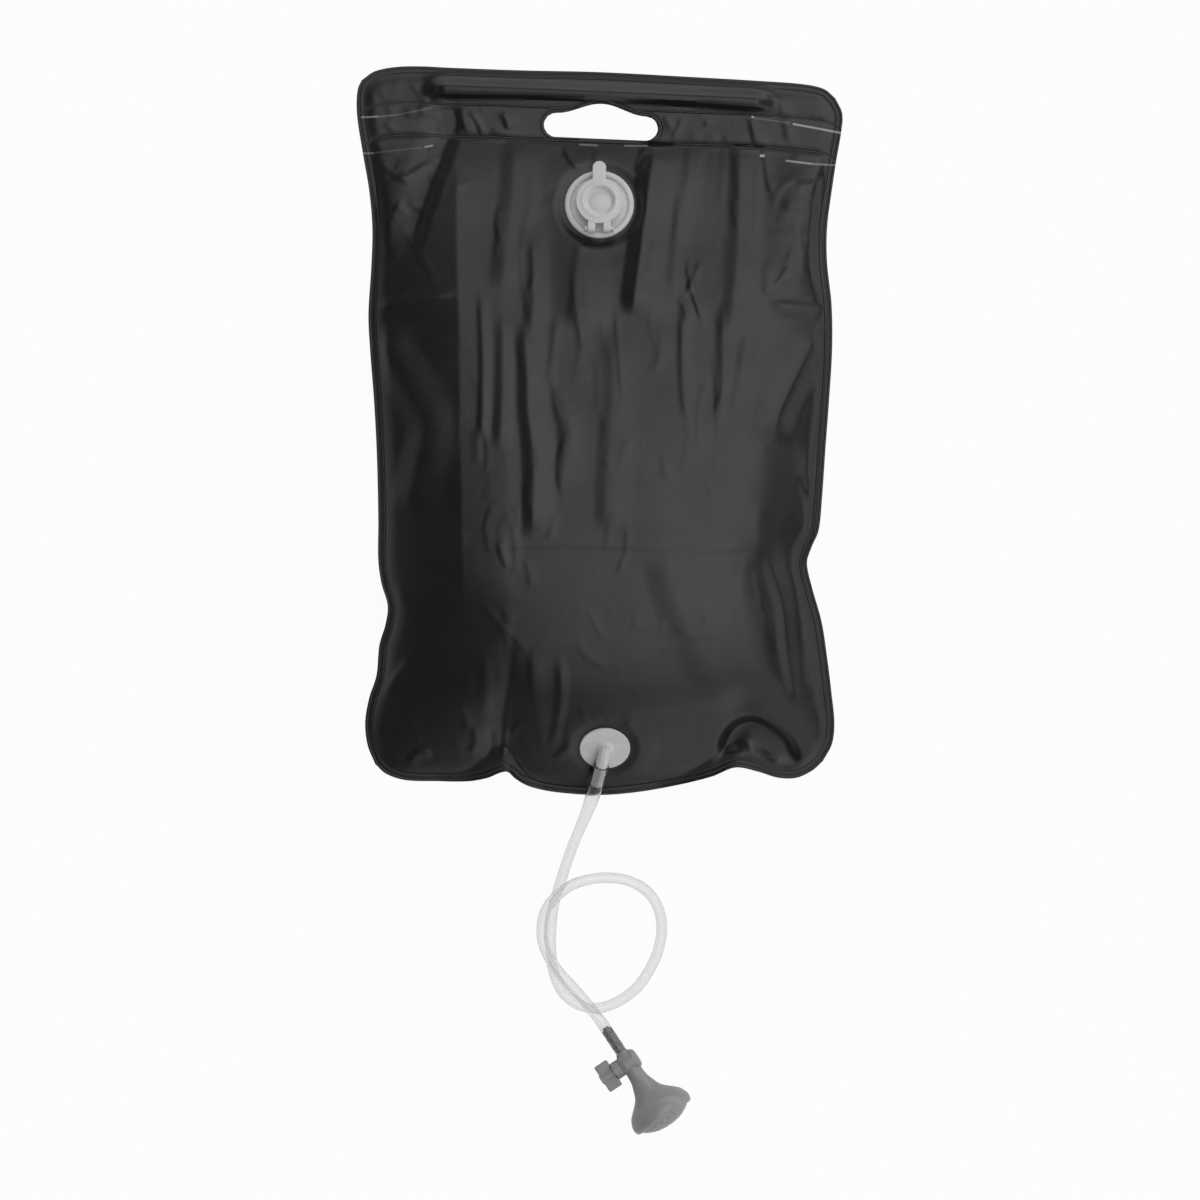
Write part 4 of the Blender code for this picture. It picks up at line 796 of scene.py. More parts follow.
def front_height(film, valve, places, across, drop, seam_height):
    """Height of the front panel's inner face, with its folds."""
    crown = np.array([(point.x, point.y) for point in
                      smooth_points([(*row, 0.0) for row in CROWN_SHARES])])
    chamber = film.length - film.weld - film.lower_weld
    share = np.clip((drop - film.lower_weld) / chamber, 0.0, 1.0)
    full = film.bulge * CROWN_FULL_SHARE * np.interp(share, crown[:, 0], crown[:, 1])
    half = 1.0 - 2.0 * film.weld / film.width
    aside = np.minimum(np.abs(2.0 * across - 1.0) / half, 1.0)
    power = np.interp(share, POWER_PLACE_SHARES, (UPPER_POWER_SHARE, LOWER_POWER_SHARE))
    fall = (1.0 - aside ** power) ** BULGE_ROUND_SHARE
    height = seam_height + np.maximum(full - seam_height, 0.0) * fall
    hem = drop < film.lower_weld
    height = np.where(hem, seam_height + channel_height(film, places), height)
    rim = rim_distance(film, places)
    folds = sum(fold_height(fold, places) for fold in all_folds())
    keep = ease((rim - film.weld) / EDGE_RUN)
    hem_keep = np.where(hem, ease(np.abs(drop - film.upper_weld) / HEM_RUN), 1.0)
    hem_keep = hem_keep * ease(np.abs(drop - film.lower_weld) / HEM_RUN)
    puff = film.upper_puff * ease(np.abs(drop - film.upper_weld) / film.puff_run) \
        + film.lower_puff * ease(np.abs(drop - film.lower_weld) / film.puff_run)
    clear = 1.0
    for centre, tilt, radius, run in (
            (valve_centre(film, valve), valve.tilt, valve.flange_radius, valve.patch_run),
            (outlet_centre(film, valve), valve.outlet_tilt, valve.outlet_radius,
             valve.outlet_run)):
        weight = patch_weight(places, centre, tilt, radius, run) * ~hem
        plane = centre[2] + math.tan(tilt) * (places[:, 1] - centre[1])
        height = height + (plane - height) * weight
        clear = clear * (1.0 - patch_weight(places, centre, tilt, radius, valve.fold_run))
    height = height + (film.fold_depth * folds * hem_keep * clear + puff * clear) * keep
    return np.maximum(height, np.where(rim < film.weld, seam_height, 0.0)), rim


def rim_droop(film, rim, seam_height):
    """How far the welded rim hangs below the seam, where the seam is off the floor."""
    fall = film.droop * (1.0 - ease(rim / film.droop_run))
    return np.minimum(fall, seam_height * DROOP_SHARE)


def film_mesh(film, columns, rows, heights):
    """A grid over the bag's outline, with its distances from rim, hole and welds stored."""
    across = edged_steps(columns, EDGE_ACROSS_SHARE)
    up = edged_steps(rows, EDGE_UP_SHARE)
    seam = FilmOutline(film).seam(across, up)
    shape = seam.shape[:2]
    flat = seam.reshape(-1, 3)
    places = flat[:, :2].copy()
    a = np.broadcast_to(across[None], shape).ravel()
    drop = film.length * (1.0 - np.broadcast_to(up[:, None], shape).ravel())
    height, rim = heights(places, a, drop, flat[:, 2])
    bm = bmesh.new()
    layers = {key: bm.verts.layers.float.new(key)
              for key in ("rim", "hole", "upper_weld", "lower_weld")}
    verts = [bm.verts.new((x, y, z)) for (x, y), z in zip(places, height)]
    hole = line_distance(places, hand_hole_line(film))[0]
    for v, *values in zip(verts, rim, np.abs(hole), drop - film.upper_weld,
                          drop - film.lower_weld):
        for layer, value in zip(layers.values(), values):
            v[layer] = value
    count = shape[1]
    for row in range(shape[0] - 1):
        for column in range(count - 1):
            start = row * count + column
            bm.faces.new((verts[start], verts[start + 1], verts[start + count + 1],
                          verts[start + count]))
    return bm


def object_from_bmesh(name, bm, material, smooth=math.radians(50.0)):
    mesh = bpy.data.meshes.new(name)
    bm.to_mesh(mesh)
    bm.free()
    mesh.materials.append(material)
    mesh.shade_smooth()
    mesh.set_sharp_from_angle(angle=smooth)
    item = bpy.data.objects.new(name, mesh)
    bpy.context.scene.collection.objects.link(item)
    return item


def add_wall(item, thickness, offset):
    wall = item.modifiers.new("wall", "SOLIDIFY")
    wall.thickness = thickness
    wall.offset = offset
    wall.use_even_offset = False


def make_front(film, valve, material):
    lift = film.thickness + film.gap

    def heights(places, across, drop, seam_height):
        height, rim = front_height(film, valve, places, across, drop, seam_height)
        return height + lift - rim_droop(film, rim, seam_height), rim

    bm = film_mesh(film, film.columns, film.rows, heights)
    cut_hole(bm, hand_hole_line(film), lambda place, height: height)
    for centre, radius, tilt in (
            (valve_centre(film, valve), valve.neck_radius, valve.tilt),
            (outlet_centre(film, valve), valve.spout_radius, valve.outlet_tilt)):
        cut_hole(bm, round_line(centre, radius, tilt), lambda place, height:
                 lift + centre[2] + math.tan(tilt) * (place[1] - centre[1]))
    front = object_from_bmesh("film_front", bm, material)
    add_wall(front, film.thickness, 1.0)
    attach(front, BAG)
    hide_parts("front_panel")


def make_rear(film, material):
    def heights(places, across, drop, seam_height):
        rim = rim_distance(film, places)
        lifted = seam_height * (1.0 - ease((rim - film.weld) / REAR_RUN))
        creases = sum(fold_height(fold, places) for fold in crumple_folds(*REAR_CRUMPLES))
        creases = creases * REAR_FOLD_SHARE * ease((rim - film.weld) / REAR_FOLD_RUN)
        return film.thickness + lifted + creases - rim_droop(film, rim, seam_height), rim

    bm = film_mesh(film, film.columns // 2, film.rows // 2, heights)
    cut_hole(bm, hand_hole_line(film), lambda place, height: height)
    rear = object_from_bmesh("film_rear", bm, material)
    add_wall(rear, film.thickness, -1.0)
    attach(rear, BAG)
    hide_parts("rear_panel")


def new_material(name):
    """A material with nodes, its node tree and its Principled shader."""
    material = bpy.data.materials.new(name)
    material.use_nodes = True
    tree = material.node_tree
    return material, tree, tree.nodes["Principled BSDF"]


def add_node(tree, kind, links=None, **values):
    """A node with its plain values set and its inputs set or linked by name or number."""
    node = tree.nodes.new(kind)
    for key, value in values.items():
        setattr(node, key, value)
    for key, value in (links or {}).items():
        if isinstance(value, bpy.types.NodeSocket):
            tree.links.new(value, node.inputs[key])
        else:
            node.inputs[key].default_value = value
    return node


def math_node(tree, operation, *values, clamp=False):
    """The result of a Math node."""
    return add_node(tree, "ShaderNodeMath", dict(enumerate(values)), operation=operation,
                    use_clamp=clamp).outputs[0]


def vector_node(tree, operation, *values, output="Vector"):
    """The result of a Vector Math node."""
    return add_node(tree, "ShaderNodeVectorMath", dict(enumerate(values)),
                    operation=operation).outputs[output]


def range_node(tree, value, low, high, first=0.0, last=1.0, kind="LINEAR"):
    """A value moved from one range to another."""
    return add_node(tree, "ShaderNodeMapRange",
                    {"Value": value, "From Min": low, "From Max": high, "To Min": first,
                     "To Max": last}, interpolation_type=kind).outputs[0]


def mix_node(tree, share, first, second):
    """A colour between two others."""
    return add_node(tree, "ShaderNodeMix", {0: share, 6: first, 7: second},
                    data_type="RGBA").outputs[2]


def new_group(name, inputs, outputs):
    """A shader node group with named number inputs and outputs."""
    tree = bpy.data.node_groups.new(name, "ShaderNodeTree")
    for label, default in inputs:
        kind = "NodeSocketVector" if isinstance(default, tuple) else "NodeSocketFloat"
        socket = tree.interface.new_socket(label, in_out="INPUT", socket_type=kind)
        socket.default_value = default
    for label in outputs:
        tree.interface.new_socket(label, in_out="OUTPUT", socket_type="NodeSocketFloat")
    return tree, tree.nodes.new("NodeGroupInput"), tree.nodes.new("NodeGroupOutput")


def place_group(tree, group, links):
    return add_node(tree, "ShaderNodeGroup", links, node_tree=bpy.data.node_groups[group])


def link_mask(tree, distance, start, end):
    """A group's mask: 1 within its half width of a line, with a soft edge."""
    outer = math_node(tree, "ADD", start.outputs["Half Width"], start.outputs["Soft"])
    mask = range_node(tree, distance, outer, start.outputs["Half Width"], kind="SMOOTHSTEP")
    tree.links.new(mask, end.inputs["Mask"])


def build_line_group():
    """A soft-edged line, from a distance to its middle."""
    tree, start, end = new_group("pressed_line", [("Distance", 0.0), ("Place", 0.0),
                                                  ("Half Width", 0.0003), ("Soft", 0.0010)],
                                 ["Mask"])
    offset = math_node(tree, "SUBTRACT", start.outputs["Distance"], start.outputs["Place"])
    link_mask(tree, math_node(tree, "ABSOLUTE", offset), start, end)


def build_stroke_group():
    """A short soft-edged stroke between two places, from object coordinates."""
    tree, start, end = new_group("stroke", [("Vector", (0.0, 0.0, 0.0)),
                                            ("Start", (0.0, 0.0, 0.0)), ("End", (1.0, 0.0, 0.0)),
                                            ("Half Width", 0.0005), ("Soft", 0.0004)], ["Mask"])
    flat = vector_node(tree, "MULTIPLY", start.outputs["Vector"], (1.0, 1.0, 0.0))
    offset = vector_node(tree, "SUBTRACT", flat, start.outputs["Start"])
    span = vector_node(tree, "SUBTRACT", start.outputs["End"], start.outputs["Start"])
    reach = vector_node(tree, "DOT_PRODUCT", offset, span, output="Value")
    length = vector_node(tree, "DOT_PRODUCT", span, span, output="Value")
    share = math_node(tree, "DIVIDE", reach, length, clamp=True)
    near = add_node(tree, "ShaderNodeVectorMath", {0: span, "Scale": share},
                    operation="SCALE").outputs[0]
    link_mask(tree, vector_node(tree, "DISTANCE", offset, near, output="Value"), start, end)


def build_grain_group():
    """Fine moulded or pressed grain, with slow mottling, from object coordinates."""
    tree, start, end = new_group("fine_grain", [("Vector", (0.0, 0.0, 0.0)), ("Scale", 900.0),
                                                ("Mottle Scale", 30.0)],
                                 ["Height", "Mottle"])
    grain = add_node(tree, "ShaderNodeTexNoise",
                     {"Vector": start.outputs["Vector"], "Scale": start.outputs["Scale"],
                      "Detail": 3.0, "Roughness": 0.6})
    mottle = add_node(tree, "ShaderNodeTexNoise",
                      {"Vector": start.outputs["Vector"],
                       "Scale": start.outputs["Mottle Scale"], "Detail": 4.0, "Roughness": 0.55})
    tree.links.new(grain.outputs[0], end.inputs["Height"])
    tree.links.new(mottle.outputs[0], end.inputs["Mottle"])


def build_crumple_group():
    """Soft creases such as film keeps after being folded away: two layers of bent ridges."""
    tree, start, end = new_group("crumple", [("Vector", (0.0, 0.0, 0.0)), ("Scale", 22.0),
                                             ("Bend", 1.2)], ["Height"])
    heights = []
    for share, detail in ((1.0, 1.0), (2.7, 2.0)):
        scale = math_node(tree, "MULTIPLY", start.outputs["Scale"], share)
        waves = add_node(tree, "ShaderNodeTexNoise",
                         {"Vector": start.outputs["Vector"], "Scale": scale, "Detail": detail,
                          "Roughness": 0.5, "Distortion": start.outputs["Bend"]})
        ridge = math_node(tree, "ABSOLUTE", math_node(tree, "SUBTRACT", waves.outputs[0], 0.5))
        heights.append(math_node(tree, "MULTIPLY", ridge, -1.0 / share))
    tree.links.new(math_node(tree, "ADD", *heights), end.inputs["Height"])


def coordinates(tree):
    return tree.nodes.new("ShaderNodeTexCoord").outputs["Object"]


def attribute(tree, name):
    return add_node(tree, "ShaderNodeAttribute", None, attribute_name=name).outputs["Fac"]


def bump(tree, height, strength, distance, normal=None):
    """A normal bent by a height; the distance is in metres."""
    links = {"Height": height, "Strength": strength, "Distance": distance}
    if normal is not None:
        links["Normal"] = normal
    return add_node(tree, "ShaderNodeBump", links).outputs["Normal"]


def mottled_colour(tree, mottle, colour, darker, lighter):
    """A colour that wanders between two shares of itself."""
    return mix_node(tree, mottle, (*[c * darker for c in colour], 1.0),
                    (*[c * lighter for c in colour], 1.0))


def mottle_roughness(tree, shader, mottle, low, high):
    tree.links.new(range_node(tree, mottle, MOTTLE_LOW, MOTTLE_HIGH, low, high),
                   shader.inputs["Roughness"])


def film_material(film):
    """Black soft film: satin, finely grained, with pressed weld lines and painted highlights along
    the welds.
    """
    material, tree, shader = new_material("black_film")
    place = coordinates(tree)
    grain = place_group(tree, "fine_grain", {"Vector": place, "Scale": 1400.0,
                                             "Mottle Scale": 24.0})
    crumple = place_group(tree, "crumple", {"Vector": place, "Scale": 20.0, "Bend": 1.2})
    pressed = 0.0
    for source, middle, half in (("rim", film.weld, 0.0002), ("rim", film.weld * 0.4, 0.0001),
                                 ("hole", 0.0031, 0.0003), ("upper_weld", 0.0, 0.0002),
                                 ("lower_weld", 0.0, 0.0004)):
        line = place_group(tree, "pressed_line", {"Distance": attribute(tree, source),
                                                  "Place": middle, "Half Width": half})
        pressed = math_node(tree, "MAXIMUM", pressed, line.outputs["Mask"])
    sunk = math_node(tree, "MULTIPLY", pressed, -1.0)
    normal = bump(tree, grain.outputs["Height"], strength=0.10, distance=0.0002)
    normal = bump(tree, crumple.outputs["Height"], strength=0.35, distance=0.0012, normal=normal)
    normal = bump(tree, sunk, strength=1.0, distance=0.0005, normal=normal)
    tree.links.new(normal, shader.inputs["Normal"])
    mottle = grain.outputs["Mottle"]
    mottle_roughness(tree, shader, mottle, low=film.roughness - 0.05,
                     high=film.roughness + 0.06)
    # Painted highlights: light strokes mixed into the film's colour along the welds
    light = 0.0
    for highlight_mark in WELD_HIGHLIGHTS:
        stroke = place_group(tree, "stroke", {
            "Vector": place, "Start": (*photo_place(highlight_mark.start), 0.0),
            "End": (*photo_place(highlight_mark.end), 0.0), "Half Width": highlight_mark.width * MM,
            "Soft": 0.8 * MM})
        share = math_node(tree, "MULTIPLY", stroke.outputs["Mask"], highlight_mark.light)
        light = math_node(tree, "MAXIMUM", light, share)
    shade = mottled_colour(tree, mottle, film.colour, darker=0.85, lighter=1.2)
    tree.links.new(mix_node(tree, light, shade, (*film.highlight_colour, 1.0)),
                   shader.inputs["Base Color"])
    shader.inputs["IOR"].default_value = 1.5
    return material


def plastic_material(name, colour, roughness, grain_scale, grain):
    """Moulded plastic with fine grain and slow mottling."""
    material, tree, shader = new_material(name)
    texture = place_group(tree, "fine_grain", {"Vector": coordinates(tree), "Scale": grain_scale,
                                               "Mottle Scale": 90.0})
    tree.links.new(bump(tree, texture.outputs["Height"], strength=grain, distance=0.0002),
                   shader.inputs["Normal"])
    mottle = texture.outputs["Mottle"]
    tree.links.new(mottled_colour(tree, mottle, colour, darker=0.93, lighter=1.07),
                   shader.inputs["Base Color"])
    mottle_roughness(tree, shader, mottle, low=roughness - 0.04, high=roughness + 0.05)
    return material


def hose_material(hose):
    """Clear flexible tube, a little cloudy."""
    material, tree, shader = new_material("clear_hose")
    texture = place_group(tree, "fine_grain", {"Vector": coordinates(tree), "Scale": 500.0,
                                               "Mottle Scale": 60.0})
    mottle = texture.outputs["Mottle"]
    tree.links.new(bump(tree, mottle, strength=0.03, distance=0.0003), shader.inputs["Normal"])
    tree.links.new(mottled_colour(tree, mottle, hose.colour, darker=0.97, lighter=1.0),
                   shader.inputs["Base Color"])
    for label, value in (("Transmission Weight", 1.0), ("Roughness", 0.18), ("IOR", 1.40)):
        shader.inputs[label].default_value = value
    cloud = add_node(tree, "ShaderNodeVolumeAbsorption", {"Color": (0.2, 0.2, 0.2, 1.0),
                                                          "Density": 70.0})
    tree.links.new(cloud.outputs[0], tree.nodes["Material Output"].inputs["Volume"])
    return material


def repaint(node, material):
    """A CAD node keeps its shape and takes a finer material."""
    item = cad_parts[node]
    item.data.materials.clear()
    item.data.materials.append(material)


def fitting_frame(film, centre, tilt):
    """Where a welded-on fitting stands: on the film, square to it."""
    lift = film.thickness * (1.0 + 1.0 / math.cos(tilt)) + film.gap
    return Matrix.Translation(Vector(centre) + Vector((0.0, 0.0, lift))) @ \
        Matrix.Rotation(tilt, 4, "X")


def outlet_frame(film, valve):
    return fitting_frame(film, outlet_centre(film, valve), valve.outlet_tilt)


def round_arc(centre, radius, start, end, steps):
    """Points of an arc, from one angle to another in degrees."""
    turns = [math.radians(start + (end - start) * i / steps) for i in range(steps + 1)]
    return [(centre[0] + radius * math.cos(turn), centre[1] + radius * math.sin(turn))
            for turn in turns]


def lathe(bm, profile, steps, place):
    """Turns an outline of (radius, height) points round Z; radius 0 closes it in a point."""
    rings = []
    for radius, height in profile:
        count = steps if radius > 0.0 else 1
        turns = [2.0 * math.pi * i / steps for i in range(count)]
        rings.append([bm.verts.new(place @ Vector((radius * math.cos(turn),
                                                   radius * math.sin(turn), height)))
                      for turn in turns])
    for first, second in zip(rings, rings[1:]):
        for i in range(steps):
            near, far = i % len(first), (i + 1) % len(first)
            low, high = i % len(second), (i + 1) % len(second)
            corners = [first[near], first[far], second[high], second[low]]
            corners = [v for k, v in enumerate(corners) if v not in corners[:k]]
            if len(corners) > 2:
                bm.faces.new(corners)


def slab(bm, outline, low, high, place):
    """A flat piece between two heights, from its outline."""
    rows = [[bm.verts.new(place @ Vector((x, y, height))) for x, y in outline]
            for height in (low, high)]
    bm.faces.new(rows[0][::-1])
    bm.faces.new(rows[1])
    for i in range(len(outline)):
        following = (i + 1) % len(outline)
        bm.faces.new((rows[0][i], rows[0][following], rows[1][following], rows[1][i]))


def rounded_piece(name, bm, material, width, node, body):
    """Finishes a moulded piece with rounded edges, in the place of its CAD node."""
    bmesh.ops.recalc_face_normals(bm, faces=bm.faces)
    item = object_from_bmesh(name, bm, material)
    rounding = item.modifiers.new("rounding", "BEVEL")
    rounding.width = width
    rounding.segments = 3
    rounding.limit_method = "ANGLE"
    rounding.angle_limit = math.radians(ROUNDING_ANGLE)
    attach(item, body)
    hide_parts(node)


def hinge_height(valve):
    top = valve.foot * 2.0 + valve.neck_height + valve.cap_thick
    return top - valve.hinge_bar - valve.foot - valve.hook_wall - valve.foot


def make_valve_base(film, valve, material):
    """The valve's base: flange with a full round bead, groove, neck and hinge pins."""
    place = fitting_frame(film, valve_centre(film, valve), valve.tilt)
    foot = valve.foot
    groove = foot + valve.groove
    rise = valve.bead_height - valve.groove
    middle = valve.flange_radius - valve.bead_width / 2.0
    half = valve.bead_width / 2.0
    turns = [math.pi * (0.5 - i / BEAD_STEPS) for i in range(1, BEAD_STEPS)]
    bead = [(middle + half * math.sin(turn), groove + rise * math.cos(turn) ** BEAD_POWER)
            for turn in turns]
    neck = valve.neck_bore + valve.neck_wall
    neck_top = foot + valve.neck_height
    profile = [(valve.flange_radius, foot), (valve.flange_radius, groove)] + bead \
        + [(middle - half, groove), (neck, groove), (neck, neck_top),
           (valve.neck_bore, neck_top), (valve.neck_bore, foot), (valve.flange_radius, foot)]
    bm = bmesh.new()
    lathe(bm, profile, valve.steps, place)
    height = hinge_height(valve)
    inner = valve.hook_gap / 2.0 + valve.hook_width + foot
    for side in (-1.0, 1.0):
        turn = Matrix.Translation((0.0, -valve.hinge_reach, height)) @ \
            Matrix.Rotation(side * math.pi / 2.0, 4, "Y")
        pin = [(0.0, valve.hook_gap / 2.0 + foot), (valve.hinge_bar, valve.hook_gap / 2.0 + foot),
               (valve.hinge_bar, inner + valve.hinge_post / 2.0)]
        lathe(bm, pin, PIN_STEPS, place @ turn)
        near, far = side * inner, side * (inner + valve.hinge_post)
        post = [(near, -valve.hinge_bar), (far, -valve.hinge_bar), (far, valve.hinge_bar),
                (near, valve.hinge_bar)]
        slab(bm, post, groove - foot, height + valve.hinge_bar * POST_RISE_SHARE,
             place @ Matrix.Translation((0.0, -valve.hinge_reach, 0.0)))
    rounded_piece("valve_base", bm, material, VALVE_ROUNDING, "filler_flange", BAG)


def hook_outline(valve):
    """An open hook round the hinge bar, with its arm towards the cap; across is Y, up is Z."""
    inner = valve.hinge_bar + valve.foot
    outer = inner + valve.hook_wall
    mouth = valve.hinge_bar * HOOK_MOUTH_SHARE
    mouth_in = math.degrees(math.asin(mouth / inner))
    mouth_out = math.degrees(math.asin(mouth / outer))
    arm = valve.hinge_reach - valve.cap_radius + valve.cap_thick
    arm_foot = outer - valve.cap_thick + valve.foot * 2.0
    turn_in = math.degrees(math.asin(arm_foot / outer))
    points = [(arm, outer)]
    points += round_arc((0.0, 0.0), outer, 90.0, 270.0 - mouth_out, 12)
    points += round_arc((0.0, 0.0), inner, 270.0 - mouth_in, -90.0 + mouth_in, 20)
    points += round_arc((0.0, 0.0), outer, -90.0 + mouth_out, turn_in, 6)
    return points + [(arm, arm_foot)]


def make_valve_cap(film, valve, material):
    """The cap: plate with a dished middle, hollow plug, pull tab and two hooks."""
    place = fitting_frame(film, valve_centre(film, valve), valve.tilt)
    seat = valve.foot * 2.0 + valve.neck_height
    top = seat + valve.cap_thick
    dish = [Vector((share * valve.dish_radius, top + depth * valve.dish_depth, 0.0))
            for share, depth in DISH_SHARES]
    upper = [(point.x, point.y) for point in smooth_points(dish, 3)]
    plug = valve.neck_bore - valve.foot
    hollow = plug - valve.plug_taper - valve.plug_wall
    under = top - valve.dish_depth - valve.plug_wall
    profile = upper + [(valve.cap_radius, top), (valve.cap_radius, seat), (plug, seat),
                       (plug - valve.plug_taper, seat - valve.plug_depth),
                       (hollow, seat - valve.plug_depth), (hollow, under), (0.0, under)]
    bm = bmesh.new()
    lathe(bm, profile, valve.steps, place)
    end = valve.tab_width / 2.0
    far = valve.cap_radius + valve.tab_reach - end
    near = valve.dish_radius * TAB_ROOT_SHARE
    outline = [(end, near)] + round_arc((0.0, far), end, 0.0, 180.0, 24) + [(-end, near)]
    middle = top - valve.cap_thick / 2.0
    thick = valve.cap_thick * TAB_THICK_SHARE
    slab(bm, outline, middle - thick / 2.0, middle + thick / 2.0, place)
    hinge = Matrix.Translation((0.0, -valve.hinge_reach, hinge_height(valve))) @ \
        Matrix(((0, 0, 1, 0), (1, 0, 0, 0), (0, 1, 0, 0), (0, 0, 0, 1)))
    for side in (-1.0, 1.0):
        low, high = sorted((side * valve.hook_gap / 2.0,
                            side * (valve.hook_gap / 2.0 + valve.hook_width)))
        slab(bm, hook_outline(valve), low, high, place @ hinge)
    rounded_piece("valve_cap", bm, material, VALVE_ROUNDING, "filler_cap", CAP)


def make_head(head, material):
    """The head's body: barbed stem, rounded boss for the tap, neck and flared bell."""
    place = head_frame()
    bell = [Vector((head.bell_radius * out, head.length * along, 0.0))
            for out, along in BELL_OUTER_SHARES]
    outside = [(point.x, point.y) for point in smooth_points(bell, 4)]
    outside += [(head.neck_radius, head.tap_place),
                (head.neck_radius, head.stem + head.neck_radius / 2.0),
                (head.barb_radius + SHOULDER, head.stem), (head.stem_radius, head.stem)]
    for i in range(BARBS):
        crest = head.stem - head.barb_pitch * (i + BARB_PLACE_SHARE)
        outside += [(head.stem_radius, crest + BARB_LIP), (head.barb_radius, crest)]
    outside += [(head.stem_radius, crest - head.barb_pitch * BARB_LEAD_SHARE),
                (head.stem_radius - STEM_CHAMFER, 0.0), (head.bore, 0.0)]
    hollow = [(head.bell_radius * out, head.length * along) for out, along in BELL_INNER_SHARES]
    seat = head.length - head.rose_recess
    hollow += [(head.bell_radius * BELL_INNER_SHARES[-1][0], seat), (head.rose_radius, seat),
               (head.rose_radius, head.length), outside[0]]
    bm = bmesh.new()
    lathe(bm, outside + hollow, head.steps, place)
    across = place @ Matrix.Translation((0.0, 0.0, head.tap_place)) @ \
        Matrix.Rotation(math.pi / 2.0, 4, "Y")
    corner = head.boss_radius - head.boss_round
    boss = [(0.0, -head.boss_far)]
    boss += round_arc((corner, head.boss_round - head.boss_far), head.boss_round, -90.0, 0.0, 8)
    boss += round_arc((corner, head.boss_near - head.boss_round), head.boss_round, 0.0, 50.0, 6)
    boss += [(head.socket + SOCKET_CHAMFER, head.boss_near), (head.socket, head.boss_near),
             (head.socket, -head.boss_near)]
    lathe(bm, boss, head.steps, across)
    rounded_piece("head_shell", bm, material, HEAD_ROUNDING, "head_body", BAG)


def head_frame():
    """Z runs from the stem's tip to the spray face, X along the tap towards its handle."""
    turn, pitch = math.radians(HEAD_TURN), math.radians(HEAD_PITCH)
    flat = Vector((math.cos(turn), math.sin(turn), 0.0))
    along = flat * math.cos(pitch) + Vector((0.0, 0.0, math.sin(pitch)))
    side = Vector((flat.y, -flat.x, 0.0))
    up = along.cross(side)
    return Matrix.Translation(HEAD_TIP) @ Matrix((side, up, along)).transposed().to_4x4()


def hose_line(film, valve, hose):
    """The hose's centre line: along the spout, over its free run, and along the head's stem."""
    swing = math.radians(SPOUT_SWING)
    along = Vector((-math.sin(swing), -math.cos(swing), 0.0))
    tip = Vector((0.0, 0.0, SPOUT_HEIGHT)) + along * hose.spout
    spout = outlet_frame(film, valve)
    start = [spout @ (tip - along * hose.overlap), spout @ (tip - along * hose.overlap / 2.0),
             spout @ tip, spout @ (tip + along * hose.lead)]
    stem = head_frame()
    end = [stem @ Vector((0.0, 0.0, place))
           for place in (-hose.lead, 0.0, hose.stem / 2.0, hose.stem - film.gap)]
    middle = smooth_points(start[-2:] + [Vector(point) for point in HOSE_ROUTE] + end[:2])
    line = start[:-2] + middle + end[2:]
    total = path_lengths(line)[-1]
    places = np.linspace(0.0, total, round(total / hose.step) + 1)
    return points_along(line, places), places


def hose_radii(hose, places):
    """Outer and inner radii of the hose at each place along it."""
    near = 1.0 - ease((places - hose.overlap) / hose.spout_taper)
    far = 1.0 - ease((places[-1] - places - hose.stem) / hose.head_taper)
    outer = hose.radius + (hose.flare - hose.radius) * near \
        + (hose.head_flare - hose.radius) * far
    grip = 1.0 - ease((places - hose.overlap) / hose.lead)
    inner = outer - hose.wall
    inner = inner + (hose.spout_grip - inner) * grip
    return outer, inner + (hose.head_grip - inner) * far


def sweep_rings(bm, line, radii, sides):
    """Rings of vertices round a line, without twist."""
    tangents = np.gradient(line, axis=0)
    side = Vector((0.0, 0.0, 1.0)).cross(Vector(tangents[0])).normalized()
    rings = []
    for point, tangent, radius in zip(line, tangents, radii):
        tangent = Vector(tangent).normalized()
        side = (side - tangent * side.dot(tangent)).normalized()
        up = tangent.cross(side)
        ring = []
        for i in range(sides):
            turn = 2.0 * math.pi * i / sides
            ring.append(bm.verts.new(Vector(point) + (side * math.cos(turn)
                                                      + up * math.sin(turn)) * radius))
        rings.append(ring)
    return rings


def join_rings(bm, first, second):
    for i in range(len(first)):
        following = (i + 1) % len(first)
        bm.faces.new((first[i], first[following], second[following], second[i]))


def make_hose(film, valve, hose):
    line, places = hose_line(film, valve, hose)
    outside, inside = hose_radii(hose, places)
    bm = bmesh.new()
    outer = sweep_rings(bm, line, outside, hose.sides)
    inner = sweep_rings(bm, line, inside, hose.sides)
    for first, second in zip(outer, outer[1:]):
        join_rings(bm, first, second)
    for first, second in zip(inner, inner[1:]):
        join_rings(bm, second, first)
    join_rings(bm, inner[0], outer[0])
    join_rings(bm, outer[-1], inner[-1])
    bmesh.ops.recalc_face_normals(bm, faces=bm.faces)
    item = object_from_bmesh("clear_hose", bm, hose_material(hose))
    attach(item, BAG)
    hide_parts("hose")


